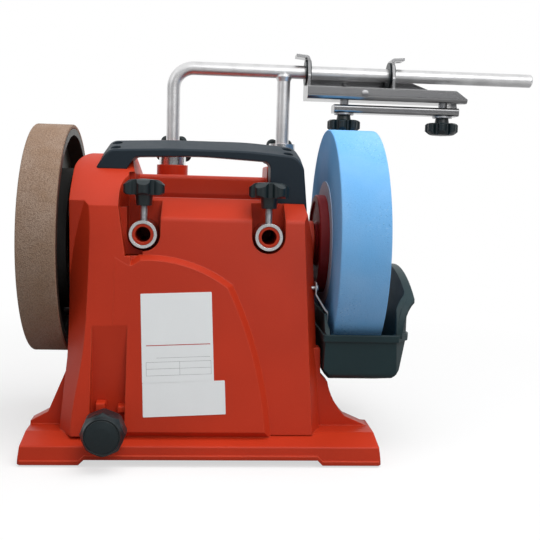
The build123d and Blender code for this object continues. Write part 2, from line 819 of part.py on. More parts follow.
def pan_head(diameter, height):
    """Pan head with a cross recess, seat at Z = 0, top up."""
    head = turned(
        (0, 0), (diameter / 2, 0), (diameter / 2, height * 0.5), (diameter * 0.32, height), (0, height))
    slot = diameter * 0.55
    return head - plan_slab(Rectangle(slot, 1), height * 0.6, height + 1) - plan_slab(
        Rectangle(1, slot), height * 0.6, height + 1)


def make_shaft_bearings():
    """Two flanged plain bearings pressed into the side walls."""
    bore = shaft_diameter / 2 + shaft_clearance
    right = rod_x(bush_outer_radius, body_right - 16, boss_face, z=axis_height)
    right = right + rod_x(bush_outer_radius + 3, boss_face, boss_face + bush_flange, z=axis_height)
    left = rod_x(bush_outer_radius, wheel_boss_face, body_left + 16, z=axis_height)
    left = left + rod_x(
        bush_outer_radius + 3, wheel_boss_face - bush_flange, wheel_boss_face, z=axis_height)
    hole = rod_x(bore, body_left - 50, body_right + 50, z=axis_height)
    return group([right - hole, left - hole])


def make_main_shaft():
    """Main shaft, threaded ends as plain turned ends with a small chamfer."""
    radius = shaft_diameter / 2
    length = shaft_right_x - shaft_left_x
    bar = turned(
        (0, 0), (radius - 1, 0), (radius, 1), (radius, length - 1), (radius - 1, length), (0, length))
    return along_x(bar, shaft_left_x, 0, axis_height)


def make_grinding_stone():
    """Grinding stone with slightly broken edges."""
    radius = stone_radius
    bore = shaft_diameter / 2 + seat_clearance
    ring = turned((bore, 0), (radius - 1.2, 0), (radius, 1.2), (radius, stone_width - 1.2),
                  (radius - 1.2, stone_width),
                  (bore, stone_width))
    return along_x(ring, stone_inner_x, 0, axis_height)


def make_paper_discs():
    """Paper discs on both faces of the stone."""
    bore = shaft_diameter / 2 + seat_clearance
    inner = ring_x(paper_disc_diameter / 2, bore, stone_inner_x - paper_disc_thickness, stone_inner_x)
    outer = ring_x(paper_disc_diameter / 2, bore, stone_outer_x, stone_outer_x + paper_disc_thickness)
    return group([inner, outer])


def wheel_washer(x):
    """Large clamping washer from x to x plus its thickness."""
    bore = shaft_diameter / 2 + seat_clearance
    return ring_x(wheel_washer_diameter / 2, bore, x, x + wheel_washer_thickness)


def make_stone_flange():
    """Moulded flange between the bearing and the stone, with a dished back and a bevelled rim."""
    radius = stone_flange_diameter / 2
    hub = stone_boss_radius - 2
    bore = shaft_diameter / 2 + seat_clearance
    width = stone_flange_width
    flange = turned((bore, 0), (hub, 0), (hub + 2, 2.5), (radius - 6, 2.5), (radius - 5, 0.8),
                    (radius - 1, 0.8),
                    (radius, 1.8), (radius, width), (bore, width))
    return along_x(flange, flange_inner_x, 0, axis_height)


def make_stone_washer():
    """Clamping washer of the stone, under its nut."""
    return wheel_washer(stone_outer_x + paper_disc_thickness)


def wheel_nut():
    """Flanged hexagon nut of a wheel, seat at Z = 0."""
    nut = hexagon(wheel_nut_flats, wheel_nut_height) + rod_z(wheel_nut_flats * 0.62, 0, 2)
    return nut - rod_z(shaft_diameter / 2 + shaft_clearance, -1, wheel_nut_height + 1)


def make_stone_nut():
    """Nut that clamps the stone."""
    return along_x(wheel_nut(), stone_nut_x, 0, axis_height)


def make_honing_wheel():
    """Honing wheel core: rim, dished web with holes, and hub."""
    rim = honing_radius - leather_thickness
    inner = rim - honing_rim
    bore = shaft_diameter / 2 + seat_clearance
    web_x = honing_outer_x + honing_recess
    wheel = ring_x(rim, inner, honing_outer_x, honing_inner_x)
    wheel = wheel + rod_x(inner + 1, web_x, web_x + honing_web, z=axis_height)
    wheel = wheel + rod_x(20, honing_washer_x, web_x + honing_web + hub_step, z=axis_height)
    for angle in range(0, 360, 60):
        rib = Rot(angle, 0, 0) * Pos(web_x - 3, 0, (inner + 20) / 2) * Box(6, 4, inner - 18)
        wheel = wheel + Pos(0, 0, axis_height) * rib
    return wheel - rod_x(bore, honing_outer_x - 5, honing_inner_x + 5, z=axis_height)


def make_leather_band():
    """Leather strip round the honing wheel."""
    return ring_x(honing_radius, honing_radius - leather_thickness, honing_outer_x, honing_inner_x)


def make_honing_washer():
    """Washer of the honing wheel."""
    return wheel_washer(honing_washer_x - wheel_washer_thickness)


def make_honing_nut():
    """Nut of the honing wheel."""
    nut = Rot(0, 180, 0) * wheel_nut()
    return along_x(nut, honing_washer_x - wheel_washer_thickness, 0, axis_height)


def make_drive_wheel():
    """Drive wheel: disc with lightening holes and a hub."""
    radius = drive_wheel_diameter / 2 - drive_ring_thickness
    bore = shaft_diameter / 2 + seat_clearance
    disc = turned((bore, 0), (18, 0), (20, 3), (radius - 8, 3), (radius - 5, 0), (radius, 0),
                  (radius, drive_wheel_width), (radius - 5, drive_wheel_width), (
                      radius - 8, drive_wheel_width - 3),
                  (20, drive_wheel_width - 3), (18, drive_wheel_width), (bore, drive_wheel_width))
    wheel = along_x(disc, drive_outer_x, 0, axis_height)
    for angle in range(30, 390, 60):
        place = Pos(0, 0, axis_height) * Rot(angle, 0, 0) * Pos(0, 0, (radius + 12) / 2)
        wheel = wheel - place * rod_x(9, drive_outer_x - 1, drive_inner_x + 1)
    return wheel


def make_friction_ring():
    """Rubber ring on the drive wheel."""
    outer = drive_wheel_diameter / 2
    return ring_x(outer, outer - drive_ring_thickness, drive_outer_x, drive_inner_x)


def make_motor_shaft():
    """Motor shaft."""
    return rod_x(
        motor_shaft_diameter / 2, roller_left_x - 0.5, motor_face_x + motor_length - 6, motor_y, motor_z)


def make_friction_roller():
    """Knurled roller on the motor shaft, as a plain roller."""
    return ring_x(roller_radius, motor_shaft_diameter / 2, roller_left_x, drive_inner_x, motor_y, motor_z)


def make_motor_can():
    """Motor can with end plates and bearing holes."""
    end = motor_face_x + motor_length
    can = rod_x(motor_diameter / 2, motor_face_x, end, motor_y, motor_z)
    can = can - rod_x(motor_diameter / 2 - 3, motor_face_x + 6, end - 4, motor_y, motor_z)
    hole = motor_shaft_diameter / 2 + shaft_clearance
    can = can - rod_x(hole, motor_face_x - 1, end - 5.5, motor_y, motor_z)
    can = can + ring_x(10, hole, end - 10, end - 3, motor_y, motor_z)
    for place in motor_screw_places():
        can = can - rod_x(2 + seat_clearance, motor_face_x - 1, motor_face_x + 7, *place)
    return can


def make_motor_rotor():
    """Wound rotor on the motor shaft."""
    rotor = ring_x(
        26, motor_shaft_diameter / 2, motor_face_x + 18, motor_face_x + motor_length - 26, motor_y, motor_z)
    return rotor + ring_x(13, motor_shaft_diameter / 2, motor_face_x + motor_length - 26,
                          motor_face_x + motor_length - 12, motor_y, motor_z)


def motor_screw_places():
    """Four screws round the motor shaft, as (y, z)."""
    reach = motor_diameter * 0.36
    return [(motor_y + reach * math.cos(math.radians(turn)), motor_z + reach * math.sin(math.radians(turn)))
            for turn in (45, 135, 225, 315)]


def make_motor_bracket():
    """Bent steel bracket that carries the motor on the bottom plate."""
    half = motor_diameter / 2 - 3
    upright = side_slab(outline(
        (motor_y - half - 6, plate_top),
        (motor_y - half, motor_z + half, 14),
        (motor_y + half, motor_z + half, 14),
        (motor_y + half + 6, plate_top)), motor_face_x - bracket_sheet, motor_face_x)
    foot = plan_slab(outline(
        (motor_face_x - bracket_sheet, motor_y - half - 6),
        (bracket_foot_x, motor_y - half - 6, 8),
        (bracket_foot_x, motor_y + half + 6, 8),
        (motor_face_x - bracket_sheet, motor_y + half + 6)), plate_top, plate_top + bracket_sheet)
    bracket = upright + foot
    bracket = bracket - rod_x(
        motor_shaft_diameter / 2 + 4, motor_face_x - 10, motor_face_x + 5, motor_y, motor_z)
    for place in motor_screw_places():
        bracket = bracket - rod_x(2 + seat_clearance, motor_face_x - 10, motor_face_x + 5, *place)
    for x, y in bracket_bolt_places():
        bracket = bracket - rod_z(3 + seat_clearance, 0, 20, x=x, y=y)
    return bracket


def bracket_bolt_places():
    """Bolts through the bracket's foot, as (x, y)."""
    return [(motor_face_x + 12, motor_y - 28), (motor_face_x + 12, motor_y + 28),
            (bracket_foot_x - 12, motor_y - 28), (bracket_foot_x - 12, motor_y + 28)]


def make_motor_screws():
    """Screws that hold the motor to its bracket."""
    screws = []
    for y, z in motor_screw_places():
        screw = pan_head(7, 2) + rod_z(2, -bracket_sheet - 5, 0.5)
        screws.append(along_x(Rot(0, 180, 0) * screw, motor_face_x - bracket_sheet, y, z))
    return group(screws)


def make_bracket_bolts():
    """Hexagon bolts through bracket foot and bottom plate, with their nuts' ends below."""
    bolts = []
    for x, y in bracket_bolt_places():
        bolt = hexagon(10, 4) + rod_z(3, -bracket_sheet - bottom_plate_thickness - 3, 0.5)
        bolts.append(Pos(x, y, plate_top + bracket_sheet) * bolt)
    return group(bolts)


def make_base_plate():
    """Sheet steel bottom plate with stiffening edge and holes for its screws, feet and motor bracket."""
    plate = plan_slab(base_plan(base_wall + 3), bottom_plate_height, plate_top)
    for x, y in screw_posts:
        plate = plate - rod_z(2 + seat_clearance, 0, 20, x=x, y=y)
    for x, y in rubber_feet_places:
        plate = plate - rod_z(3 + seat_clearance, 0, 20, x=x, y=y)
    for x, y in bracket_bolt_places():
        plate = plate - rod_z(3 + seat_clearance, 0, 20, x=x, y=y)
    for row in range(5):
        for x in (20.0, 62.0):
            plate = plate - plan_slab(Pos(x, 14 * (row - 2)) * SlotOverall(32, 5), 0, 20)
    return plate


def make_base_screws():
    """Screws that hold the bottom plate."""
    screws = []
    for x, y in screw_posts:
        screw = pan_head(8, 2.6) + rod_z(2, -bottom_plate_thickness - 4, 0.5)
        screws.append(Pos(x, y, bottom_plate_height) * (Rot(180, 0, 0) * screw))
    return group(screws)


def make_rubber_feet():
    """Rubber feet with a stem through the bottom plate and a retaining bead."""
    feet = []
    radius = rubber_foot_diameter / 2
    for x, y in rubber_feet_places:
        foot = turned((0, 0), (radius - 2, 0), (radius - 1, 1), (radius, bottom_plate_height),
                      (3, bottom_plate_height), (3, plate_top), (4, plate_top),
                      (2.5, plate_top + 1.5), (0, plate_top + 1.5))
        feet.append(Pos(x, y, 0) * foot)
    return group(feet)


def make_front_sleeve(x):
    """Steel sleeve in the front socket, with the hole of the clamp screw."""
    radius = front_sleeve_diameter / 2
    tube = rod_y(radius, socket_mouth_y, socket_end_y, x=x, z=up(socket_height))
    bore = rod_y(front_liner_diameter / 2 + seat_clearance, -200, 0, x=x, z=up(socket_height))
    screw = rod_z(
        clamp_screw_diameter / 2 + screw_clearance, up(socket_height), up(60), x=x, y=front_screw_y)
    return tube - bore - screw


def make_front_bush(x):
    """Plastic liner of the front socket."""
    tube = rod_y(front_liner_diameter / 2, socket_mouth_y + 0.5, socket_end_y, x=x, z=up(socket_height))
    bore = rod_y(bar_diameter / 2 + socket_clearance, -200, 0, x=x, z=up(socket_height))
    screw = rod_z(
        clamp_screw_diameter / 2 + screw_clearance, up(socket_height), up(60), x=x, y=front_screw_y)
    return tube - bore - screw


def make_rear_sleeve(x):
    """Upright steel sleeve with the hole of the clamp screw."""
    tube = rod_z(rear_sleeve_diameter / 2, up(rear_sleeve_bottom), up(rear_sleeve_top), x=x, y=bar_y)
    bore = rod_z(rear_liner_diameter / 2 + seat_clearance, 0, 400, x=x, y=bar_y)
    screw = rod_y(
        clamp_screw_diameter / 2 + screw_clearance, bar_y, bar_y + 40, x=x, z=up(rear_clamp_height))
    return tube - bore - screw


def make_rear_bush(x):
    """Plastic liner of the upright sleeve."""
    tube = rod_z(rear_liner_diameter / 2, up(rear_sleeve_bottom), up(rear_sleeve_top) - 0.5, x=x, y=bar_y)
    bore = rod_z(bar_diameter / 2 + liner_clearance, 0, 400, x=x, y=bar_y)
    screw = rod_y(
        clamp_screw_diameter / 2 + screw_clearance, bar_y, bar_y + 40, x=x, z=up(rear_clamp_height))
    return tube - bore - screw


def clamp_knob():
    """Clamp knob with its hub at Z = 0."""
    return star_knob(clamp_knob_diameter, clamp_knob_height, clamp_hub_diameter, clamp_hub_height,
                     clamp_lobes,
                     clamp_screw_diameter / 2)


def clamp_screw(reach):
    """Clamp screw that reaches the given length below the knob's hub."""
    return rod_z(clamp_screw_diameter / 2, -reach, clamp_hub_height + clamp_knob_height * 0.6)


def make_front_knob(x, turn):
    """Knob of a front clamp, one lobe turned that many degrees from the +X side."""
    return Pos(x, front_screw_y, up(front_hub_base)) * (Rot(0, 0, turn) * clamp_knob())


def make_front_screw(x):
    """Screw of a front clamp, its tip just short of the bore."""
    reach = front_hub_base - socket_height - bar_diameter / 2 - socket_clearance - running_gap
    return Pos(x, front_screw_y, up(front_hub_base)) * clamp_screw(reach)


def make_rear_knob(x):
    """Knob of a rear clamp."""
    knob = Rot(0, 0, 90) * clamp_knob()
    return along_y(knob, x, bar_y + rear_sleeve_diameter / 2 + rear_hub_gap, up(rear_clamp_height))


def make_rear_screw(x):
    """Screw of a rear clamp, its tip just short of the bar's leg."""
    reach = rear_hub_gap + rear_sleeve_diameter / 2 - bar_diameter / 2 - running_gap
    return along_y(
        clamp_screw(reach), x, bar_y + rear_sleeve_diameter / 2 + rear_hub_gap, up(rear_clamp_height))


def make_support_bar():
    """Tool support: bar bent down into the left leg, right leg welded on, free right end."""
    radius = bar_diameter / 2
    path = FilletPolyline(
        (bar_left_leg, bar_y, up(leg_bottom)), (bar_left_leg, bar_y, bar_height), (
            bar_right_end, bar_y, bar_height),
        radius=bar_bend)
    bar = sweep(
        Plane(origin=(bar_left_leg, bar_y, up(leg_bottom)), z_dir=(0, 0, 1)) * Circle(radius), path=path)
    leg = rod_z(radius, up(leg_bottom), bar_height, x=bar_right_leg, y=bar_y)
    bead = turned((0, -radius - 3), (radius, -radius - 3), (radius + 1.6, -radius + 1),
                  (radius + 1, -radius + 3),
                  (0, -radius + 3))
    frame = bar + leg + Pos(bar_right_leg, bar_y, bar_height) * bead
    end = [edge for edge in frame.edges() if edge.center().X > bar_right_end - 1]
    return chamfer(end, 1.2)


def make_jig_bushes():
    """Grooved plastic bushes that carry the jig's ears on the bar."""
    radius = jig_bush_diameter / 2
    half = jig_bush_width / 2
    groove = sheet / 2 + running_gap / 2
    bore = bar_diameter / 2 + liner_clearance
    bush = turned((bore, -half), (radius + 1.2, -half), (radius + 1.2, -groove), (radius, -groove),
                  (radius, groove),
                  (radius + 1.2, groove), (radius + 1.2, half), (bore, half))
    return group([along_x(bush, x, bar_y, bar_height) for x in (ear_left_x, ear_right_x)])


def make_jig_carrier():
    """Sheet steel carrier: channel with unequal flanges, two ears with bent lips."""
    front = bar_y - ear_half_depth
    rear = bar_y + ear_half_depth
    low = bar_height - channel_drop
    web = low + sheet
    left = ear_left_x - sheet / 2
    profile = outline(
        (front, low + front_flange),
        (front, low, 4),
        (rear, low, 4),
        (rear, low + rear_flange),
        (rear - sheet, low + rear_flange),
        (rear - sheet, web, 1.5),
        (front + sheet, web, 1.5),
        (front + sheet, low + front_flange))
    carrier = side_slab(profile, left, channel_front_end)
    carrier = carrier - plan_slab(outline(
        (channel_rear_end, bar_y), (channel_front_end + 1, front + 8), (channel_front_end + 1, rear + 5),
        (channel_rear_end, rear + 5)), low - 1, low + 60)
    slope = outline(
        (channel_rear_end - 34, low + rear_flange + 1),
        (channel_rear_end + 1, low + 9),
        (channel_rear_end + 1, low + rear_flange + 1))
    carrier = carrier - front_slab(slope, rear - 6, rear + 1)
    nose = outline(
        (channel_front_end - 12, low + front_flange + 1),
        (channel_front_end + 1, low + 3),
        (channel_front_end + 1, low + front_flange + 1))
    carrier = carrier - front_slab(nose, front - 1, front + 6)
    hole = jig_bush_diameter / 2 + shaft_clearance
    for x, way in ((ear_left_x, -1), (ear_right_x, 1)):
        ear = side_slab(outline(
            (front + 1, web - 0.5),
            (front + 1, bar_height - 4, 3),
            (bar_y - 11, bar_height + ear_top, 6),
            (bar_y + 11, bar_height + ear_top, 6),
            (rear - 1, bar_height - 4, 3),
            (rear - 1, web - 0.5)), x - sheet / 2, x + sheet / 2)
        lip = front_slab(outline(
            (x - way * sheet / 2, bar_height + ear_top - 3),
            (x - way * sheet / 2, bar_height + ear_top + sheet, 3),
            (x + way * lip_length, bar_height + ear_top + sheet + 1),
            (x + way * lip_length, bar_height + ear_top + 1),
            (x + way * sheet / 2, bar_height + ear_top),
            (x + way * sheet / 2, bar_height + ear_top - 3)), bar_y - 8, bar_y + 8)
        carrier = carrier + ear + lip
    carrier = carrier - rod_x(hole, left - 1, ear_right_x + 5, bar_y, bar_height)
    carrier = carrier - rod_z(
        2.5, bar_height + ear_top - 1, bar_height + ear_top + 9, x=ear_right_x + lip_length * 0.62, y=bar_y)
    carrier = carrier - rod_y(
        3.5, rear - 6, rear + 1, x=(ear_left_x + ear_right_x) / 2 + 8, z=low + rear_flange / 2)
    for x in (jig_stud_left_x, jig_stud_right_x):
        carrier = carrier - rod_z(jig_stud_diameter / 2 + seat_clearance, low - 1, web + 1, x=x, y=bar_y)
    return carrier


def make_jig_clamp_bar():
    """Clamp bar under the channel, rounded edges, with a heel at its outer end."""
    top = bar_height - channel_drop - clamp_gap
    low = top - clamp_bar_thickness
    half = clamp_bar_depth / 2
    profile = outline(
        (bar_y - half, low, 2.5), (bar_y - half, top, 2.5), (bar_y + half, top, 2.5),
        (bar_y + half, low, 2.5))
    bar = side_slab(profile, clamp_bar_left, clamp_bar_right)
    heel = front_slab(outline(
        (clamp_bar_right - 7, top - 1),
        (clamp_bar_right - 7, top + clamp_gap),
        (clamp_bar_right - 2, top + clamp_gap),
        (clamp_bar_right - 1, top - 1)), bar_y - half + 3, bar_y + half - 3)
    bar = bar + heel
    for x in (jig_stud_left_x, jig_stud_right_x):
        bar = bar - rod_z(jig_stud_diameter / 2 + seat_clearance, low - 1, top + 5, x=x, y=bar_y)
    return bar


def jig_stack():
    """Undersides of clamp bar and washer, measured from the bench."""
    bar_low = bar_height - channel_drop - clamp_gap - clamp_bar_thickness
    return bar_low, bar_low - jig_washer_thickness


def make_jig_screws():
    """Bolts of the jig, head on the web, shank down into the knob."""
    web = bar_height - channel_drop + sheet
    low = jig_stack()[1] - running_gap - jig_hub_height - jig_knob_height * 0.6
    bolts = []
    for x in (jig_stud_left_x, jig_stud_right_x):
        bolts.append(Pos(x, bar_y, web) * (hexagon(13, 5) + rod_z(jig_stud_diameter / 2, low - web, 0.5)))
    return group(bolts)


def make_jig_washers():
    """Washers under the clamp bar."""
    high, low = jig_stack()
    bore = jig_stud_diameter / 2 + seat_clearance
    return group([rod_z(9, low, high, x=x, y=bar_y) - rod_z(bore, low - 1, high + 1, x=x, y=bar_y)
                  for x in (jig_stud_left_x, jig_stud_right_x)])


def make_jig_knob(x):
    """Knob of the jig, hub up against the washer."""
    knob = star_knob(jig_knob_diameter, jig_knob_height, jig_hub_diameter, jig_hub_height, jig_lobes,
                     jig_stud_diameter / 2 + screw_clearance)
    return Pos(x, bar_y, jig_stack()[1] - running_gap) * (Rot(180, 0, 0) * knob)


def trough_form(inset):
    """Outer form of the trough, or with an inset the water space."""
    left = trough_left_x + inset
    right = trough_right_x - inset
    front = trough_front_y + inset
    low = trough_low + inset
    edge = up(-trough_edge) + inset
    rim = up(-trough_rim_below_axis)
    run = trough_floor_run
    side = outline(
        (front, up(10)),
        (front, rim),
        (front + 2.5, edge, 5),
        (front + run, low, 25),
        (-front - run, low, 25),
        (-front - 2.5, edge, 5),
        (-front, rim),
        (-front, up(10)))
    across = outline(
        (left, up(10)),
        (left, trough_low + 16.5, 2),
        (left + 4, trough_low + 7, 3),
        (left + 11, low),
        (right - 22, low),
        (right - 14, trough_low + 8.5, 3),
        (right - 7.5, trough_low + 15.5, 3),
        (right, rim - 1),
        (right, up(10)))
    plan = outline(
        (left, front, 2.5),
        (right - 12, front, 3),
        (right, front + 16, 12),
        (right, -front - 16, 12),
        (right - 12, -front, 3),
        (left, -front, 2.5))
    form = side_slab(side, left, right) & front_slab(across, -200, 200)
    form = form & plan_slab(plan, 0, 400)
    bilge = outline(
        (left - 5, edge - 20),
        (left - 5, edge + trough_bilge + 5),
        (left + trough_bilge + 15, edge - 15),
        (left + trough_bilge + 15, edge - 20))
    ends = front_slab(bilge, front - 5, front + 27) + front_slab(bilge, -front - 27, -front + 5)
    return form - ends


def splash_rim(drop=0.0):
    """Y-Z region above the rim of the outer splash wall; drop lowers it."""
    rim = up(-trough_rim_below_axis)
    foot = trough_front_y
    step = (foot + 5, rim + trough_splash_end - drop)
    rear_step = (-foot - 5, rim + trough_splash_end - drop)
    return make_face([
        Line((foot - 20, up(60)), (foot - 20, rim - drop)),
        Line((foot - 20, rim - drop), (foot, rim - drop)),
        Line((foot, rim - drop), step),
        ThreePointArc(step, (0, rim + trough_splash_top - drop), rear_step),
        Line(rear_step, (-foot, rim - drop)),
        Line((-foot, rim - drop), (-foot + 20, rim - drop)),
        Line((-foot + 20, rim - drop), (-foot + 20, up(60))),
        Line((-foot + 20, up(60)), (foot - 20, up(60))),
    ])


def make_water_trough():
    """Water trough: boat-shaped tub with an outer splash wall, a thick front rim and a low inner wall."""
    rim = up(-trough_rim_below_axis)
    outer = trough_form(0)
    band = trough_form(-1.4) & plan_slab(Rectangle(700, 700), rim - trough_lip, rim)
    tub = outer + band - trough_form(trough_wall)
    splash_x = trough_right_x - 12
    tub = tub - side_slab(splash_rim(), splash_x, trough_right_x + 20)
    inner_side = trough_left_x + trough_wall + 1.5
    tub = tub - plan_slab(
        Pos((inner_side + splash_x) / 2, 0) * Rectangle(splash_x - inner_side, 400), rim, 400)
    inner_rim = up(-trough_inner_rim)
    left_cut = outline(
        (trough_front_y - 20, up(60)),
        (trough_front_y - 20, rim),
        (trough_front_y, rim),
        (trough_front_y + 8, inner_rim, 3),
        (-trough_front_y - 8, inner_rim, 3),
        (-trough_front_y, rim),
        (-trough_front_y + 20, rim),
        (-trough_front_y + 20, up(60)))
    tub = tub - side_slab(left_cut, trough_left_x - 20, inner_side)
    flange = (splash_rim(3) - splash_rim()) & Rectangle(2 * abs(trough_front_y) - 8, 800)
    flange = side_slab(flange, trough_right_x - trough_wall, trough_right_x + 4.5)
    return tub + flange


def clip_seat_x():
    """X of the housing's side wall behind the lower end of the trough clip's flat part."""
    share = (right_bend - clip_screw_height + 5) / (up(right_bend) - base_top)
    return body_right - right_lean + (right_lean + right_flare) * share


def make_trough_clip():
    """Steel leaf on the housing that slants out and hooks over the trough's inner wall."""
    back = clip_seat_x()
    top = up(-trough_inner_rim) + running_gap + clip_sheet + 1
    bend = up(clip_screw_height - 5)
    reach = trough_left_x + trough_wall + running_gap + 0.5
    leaf = outline(
        (back, up(clip_top)),
        (back, bend),
        (reach - 1.5, top - clip_sheet),
        (reach, top - clip_sheet - 1),
        (reach, up(clip_hook)),
        (reach + clip_sheet, up(clip_hook)),
        (reach + clip_sheet, top - 1),
        (reach - 1.0, top + 1),
        (back + clip_sheet, bend + 0.6),
        (back + clip_sheet, up(clip_top)))
    clip = front_slab(leaf, clip_front_y, clip_front_y + clip_width)
    return clip - rod_x(
        1.5 + seat_clearance, back - 1, back + 5, clip_front_y + clip_width / 2, up(clip_screw_height))


def make_clip_screw():
    """Screw of the trough clip."""
    screw = pan_head(6, 2) + rod_z(1.5, -4, 0.5)
    return along_x(screw, clip_seat_x() + clip_sheet, clip_front_y + clip_width / 2, up(clip_screw_height))


def make_potentiometer():
    """Potentiometer behind the front wall, threaded bush through it."""
    back = control_wall_y + wall
    body = rod_y(8.5, back, back + 11, x=knob_x, z=knob_height)
    bush = rod_y(control_bushing_diameter / 2, control_wall_y - 5, back + 1, x=knob_x, z=knob_height)
    hole = rod_y(
        spindle_diameter / 2 + shaft_clearance, control_wall_y - 6, back + 6, x=knob_x, z=knob_height)
    return body + bush - hole


def make_pot_nut():
    """Nut on the potentiometer's bush."""
    nut = hexagon(12, 2.6) - rod_z(control_bushing_diameter / 2 + shaft_clearance, -1, 5)
    return along_y(Rot(180, 0, 0) * nut, knob_x, control_wall_y, knob_height)


def make_control_board():
    """Speed control board with its capacitor and heat sink."""
    face_y = control_wall_y + wall + 11
    board = front_slab(outline((-96, 13), (-96, 62), (-30, 62), (-30, 13)), face_y, face_y + 1.6)
    parts = rod_y(9, face_y + 1.6, face_y + 21.6, x=-44, z=30)
    sink = front_slab(outline((-90, 24), (-90, 56), (-62, 56), (-62, 24)), face_y + 1.6, face_y + 4.6)
    for row in range(5):
        x = -89 + 6.5 * row
        sink = sink + front_slab(
            outline((x - 1, 24), (x - 1, 56), (x + 1, 56), (x + 1, 24)), face_y + 3, face_y + 16)
    return group([board + parts + sink])


def make_speed_spindle():
    """Spindle of the speed control."""
    return rod_y(spindle_diameter / 2, speed_knob_back_y - speed_knob_depth * 0.6,
                 control_wall_y + wall + 5.5, x=knob_x,
                 z=knob_height)


def make_speed_knob():
    """Speed knob: tapered, eight flats, domed face with a ring groove."""
    radius = speed_knob_diameter / 2
    depth = speed_knob_depth
    prism = extrude(RegularPolygon(radius * 1.03, 8, major_radius=True), amount=depth, taper=3)
    form = turned((0, 0), (radius, 0), (radius, depth * 0.62), (radius * 0.86, depth * 0.86),
                  (radius * 0.80, depth),
                  (0, depth))
    core = turned(
        (0, 0), (radius * 0.94, 0), (radius * 0.94, depth * 0.6), (radius * 0.80, depth), (0, depth))
    knob = (prism & form) + core
    dome = turned((0, depth - 1), (radius * 0.72, depth - 1), (radius * 0.70, depth),
                  (radius * 0.4, depth + 1.2),
                  (0, depth + 1.6))
    groove = turned((radius * 0.72, depth - 0.8), (radius * 0.77, depth - 0.8), (radius * 0.77, depth + 2),
                    (radius * 0.72, depth + 2))
    knob = knob - groove + dome - rod_z(spindle_diameter / 2, -1, depth * 0.6)
    return along_y(Rot(180, 0, 0) * knob, knob_x, speed_knob_back_y, knob_height)


def make_inlet_gland():
    """Cable gland at the rear, empty."""
    gland = hexagon(22, 4) + turned((0, 3), (10, 3), (10, 8), (7, 13), (0, 13)) + rod_z(
        gland_thread_radius, -gland_wall - 6, 1)
    gland = gland - rod_z(4.2, -40, 20)
    return along_y(gland, gland_x, gland_face_y, gland_z)


def make_gland_nut():
    """Lock nut of the cable gland, inside the rear wall."""
    nut = hexagon(22, 4) - rod_z(gland_thread_radius + shaft_clearance, -1, 6)
    return along_y(nut, gland_x, gland_face_y - gland_wall - 4, gland_z)


nodes = {
    "housing": make_housing(),
    "handle": make_handle(),
    "handle_screws": make_handle_screws(),
    "base_plate": make_base_plate(),
    "base_screws": make_base_screws(),
    "rubber_feet": make_rubber_feet(),
    "front_sleeve_left": make_front_sleeve(-socket_x),
    "front_sleeve_right": make_front_sleeve(socket_x),
    "front_bush_left": make_front_bush(-socket_x),
    "front_bush_right": make_front_bush(socket_x),
    "front_knob_left": make_front_knob(-socket_x, -90),
    "front_knob_right": make_front_knob(socket_x, 90),
    "front_screw_left": make_front_screw(-socket_x),
    "front_screw_right": make_front_screw(socket_x),
    "rear_sleeve_left": make_rear_sleeve(bar_left_leg),
    "rear_sleeve_right": make_rear_sleeve(bar_right_leg),
    "rear_bush_left": make_rear_bush(bar_left_leg),
    "rear_bush_right": make_rear_bush(bar_right_leg),
    "rear_knob_left": make_rear_knob(bar_left_leg),
    "rear_knob_right": make_rear_knob(bar_right_leg),
    "rear_screw_left": make_rear_screw(bar_left_leg),
    "rear_screw_right": make_rear_screw(bar_right_leg),
    "support_bar": make_support_bar(),
    "jig_bushes": make_jig_bushes(),
    "jig_carrier": make_jig_carrier(),
    "jig_clamp_bar": make_jig_clamp_bar(),
    "jig_screws": make_jig_screws(),
    "jig_washers": make_jig_washers(),
    "jig_knob_left": make_jig_knob(jig_stud_left_x),
    "jig_knob_right": make_jig_knob(jig_stud_right_x),
    "shaft_bearings": make_shaft_bearings(),
    "main_shaft": make_main_shaft(),
    "grinding_stone": make_grinding_stone(),
    "stone_paper_discs": make_paper_discs(),
    "stone_flange": make_stone_flange(),
    "stone_washer": make_stone_washer(),
    "stone_nut": make_stone_nut(),
    "honing_wheel": make_honing_wheel(),
    "leather_band": make_leather_band(),
    "honing_washer": make_honing_washer(),
    "honing_nut": make_honing_nut(),
    "drive_wheel": make_drive_wheel(),
    "friction_ring": make_friction_ring(),
    "motor_can": make_motor_can(),
    "motor_rotor": make_motor_rotor(),
    "motor_shaft": make_motor_shaft(),
    "friction_roller": make_friction_roller(),
    "motor_bracket": make_motor_bracket(),
    "motor_screws": make_motor_screws(),
    "bracket_bolts": make_bracket_bolts(),
    "water_trough": make_water_trough(),
    "trough_clip": make_trough_clip(),
    "clip_screw": make_clip_screw(),
    "speed_knob": make_speed_knob(),
    "speed_spindle": make_speed_spindle(),
    "potentiometer": make_potentiometer(),
    "pot_nut": make_pot_nut(),
    "control_board": make_control_board(),
    "inlet_gland": make_inlet_gland(),
    "gland_nut": make_gland_nut(),
}
for name, shape in nodes.items():
    export_step(shape, f"parts/{name}.step")
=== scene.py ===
import math

import bmesh
import bpy
from bpy.props import FloatProperty, FloatVectorProperty, IntProperty, PointerProperty
from mathutils import Matrix, Vector


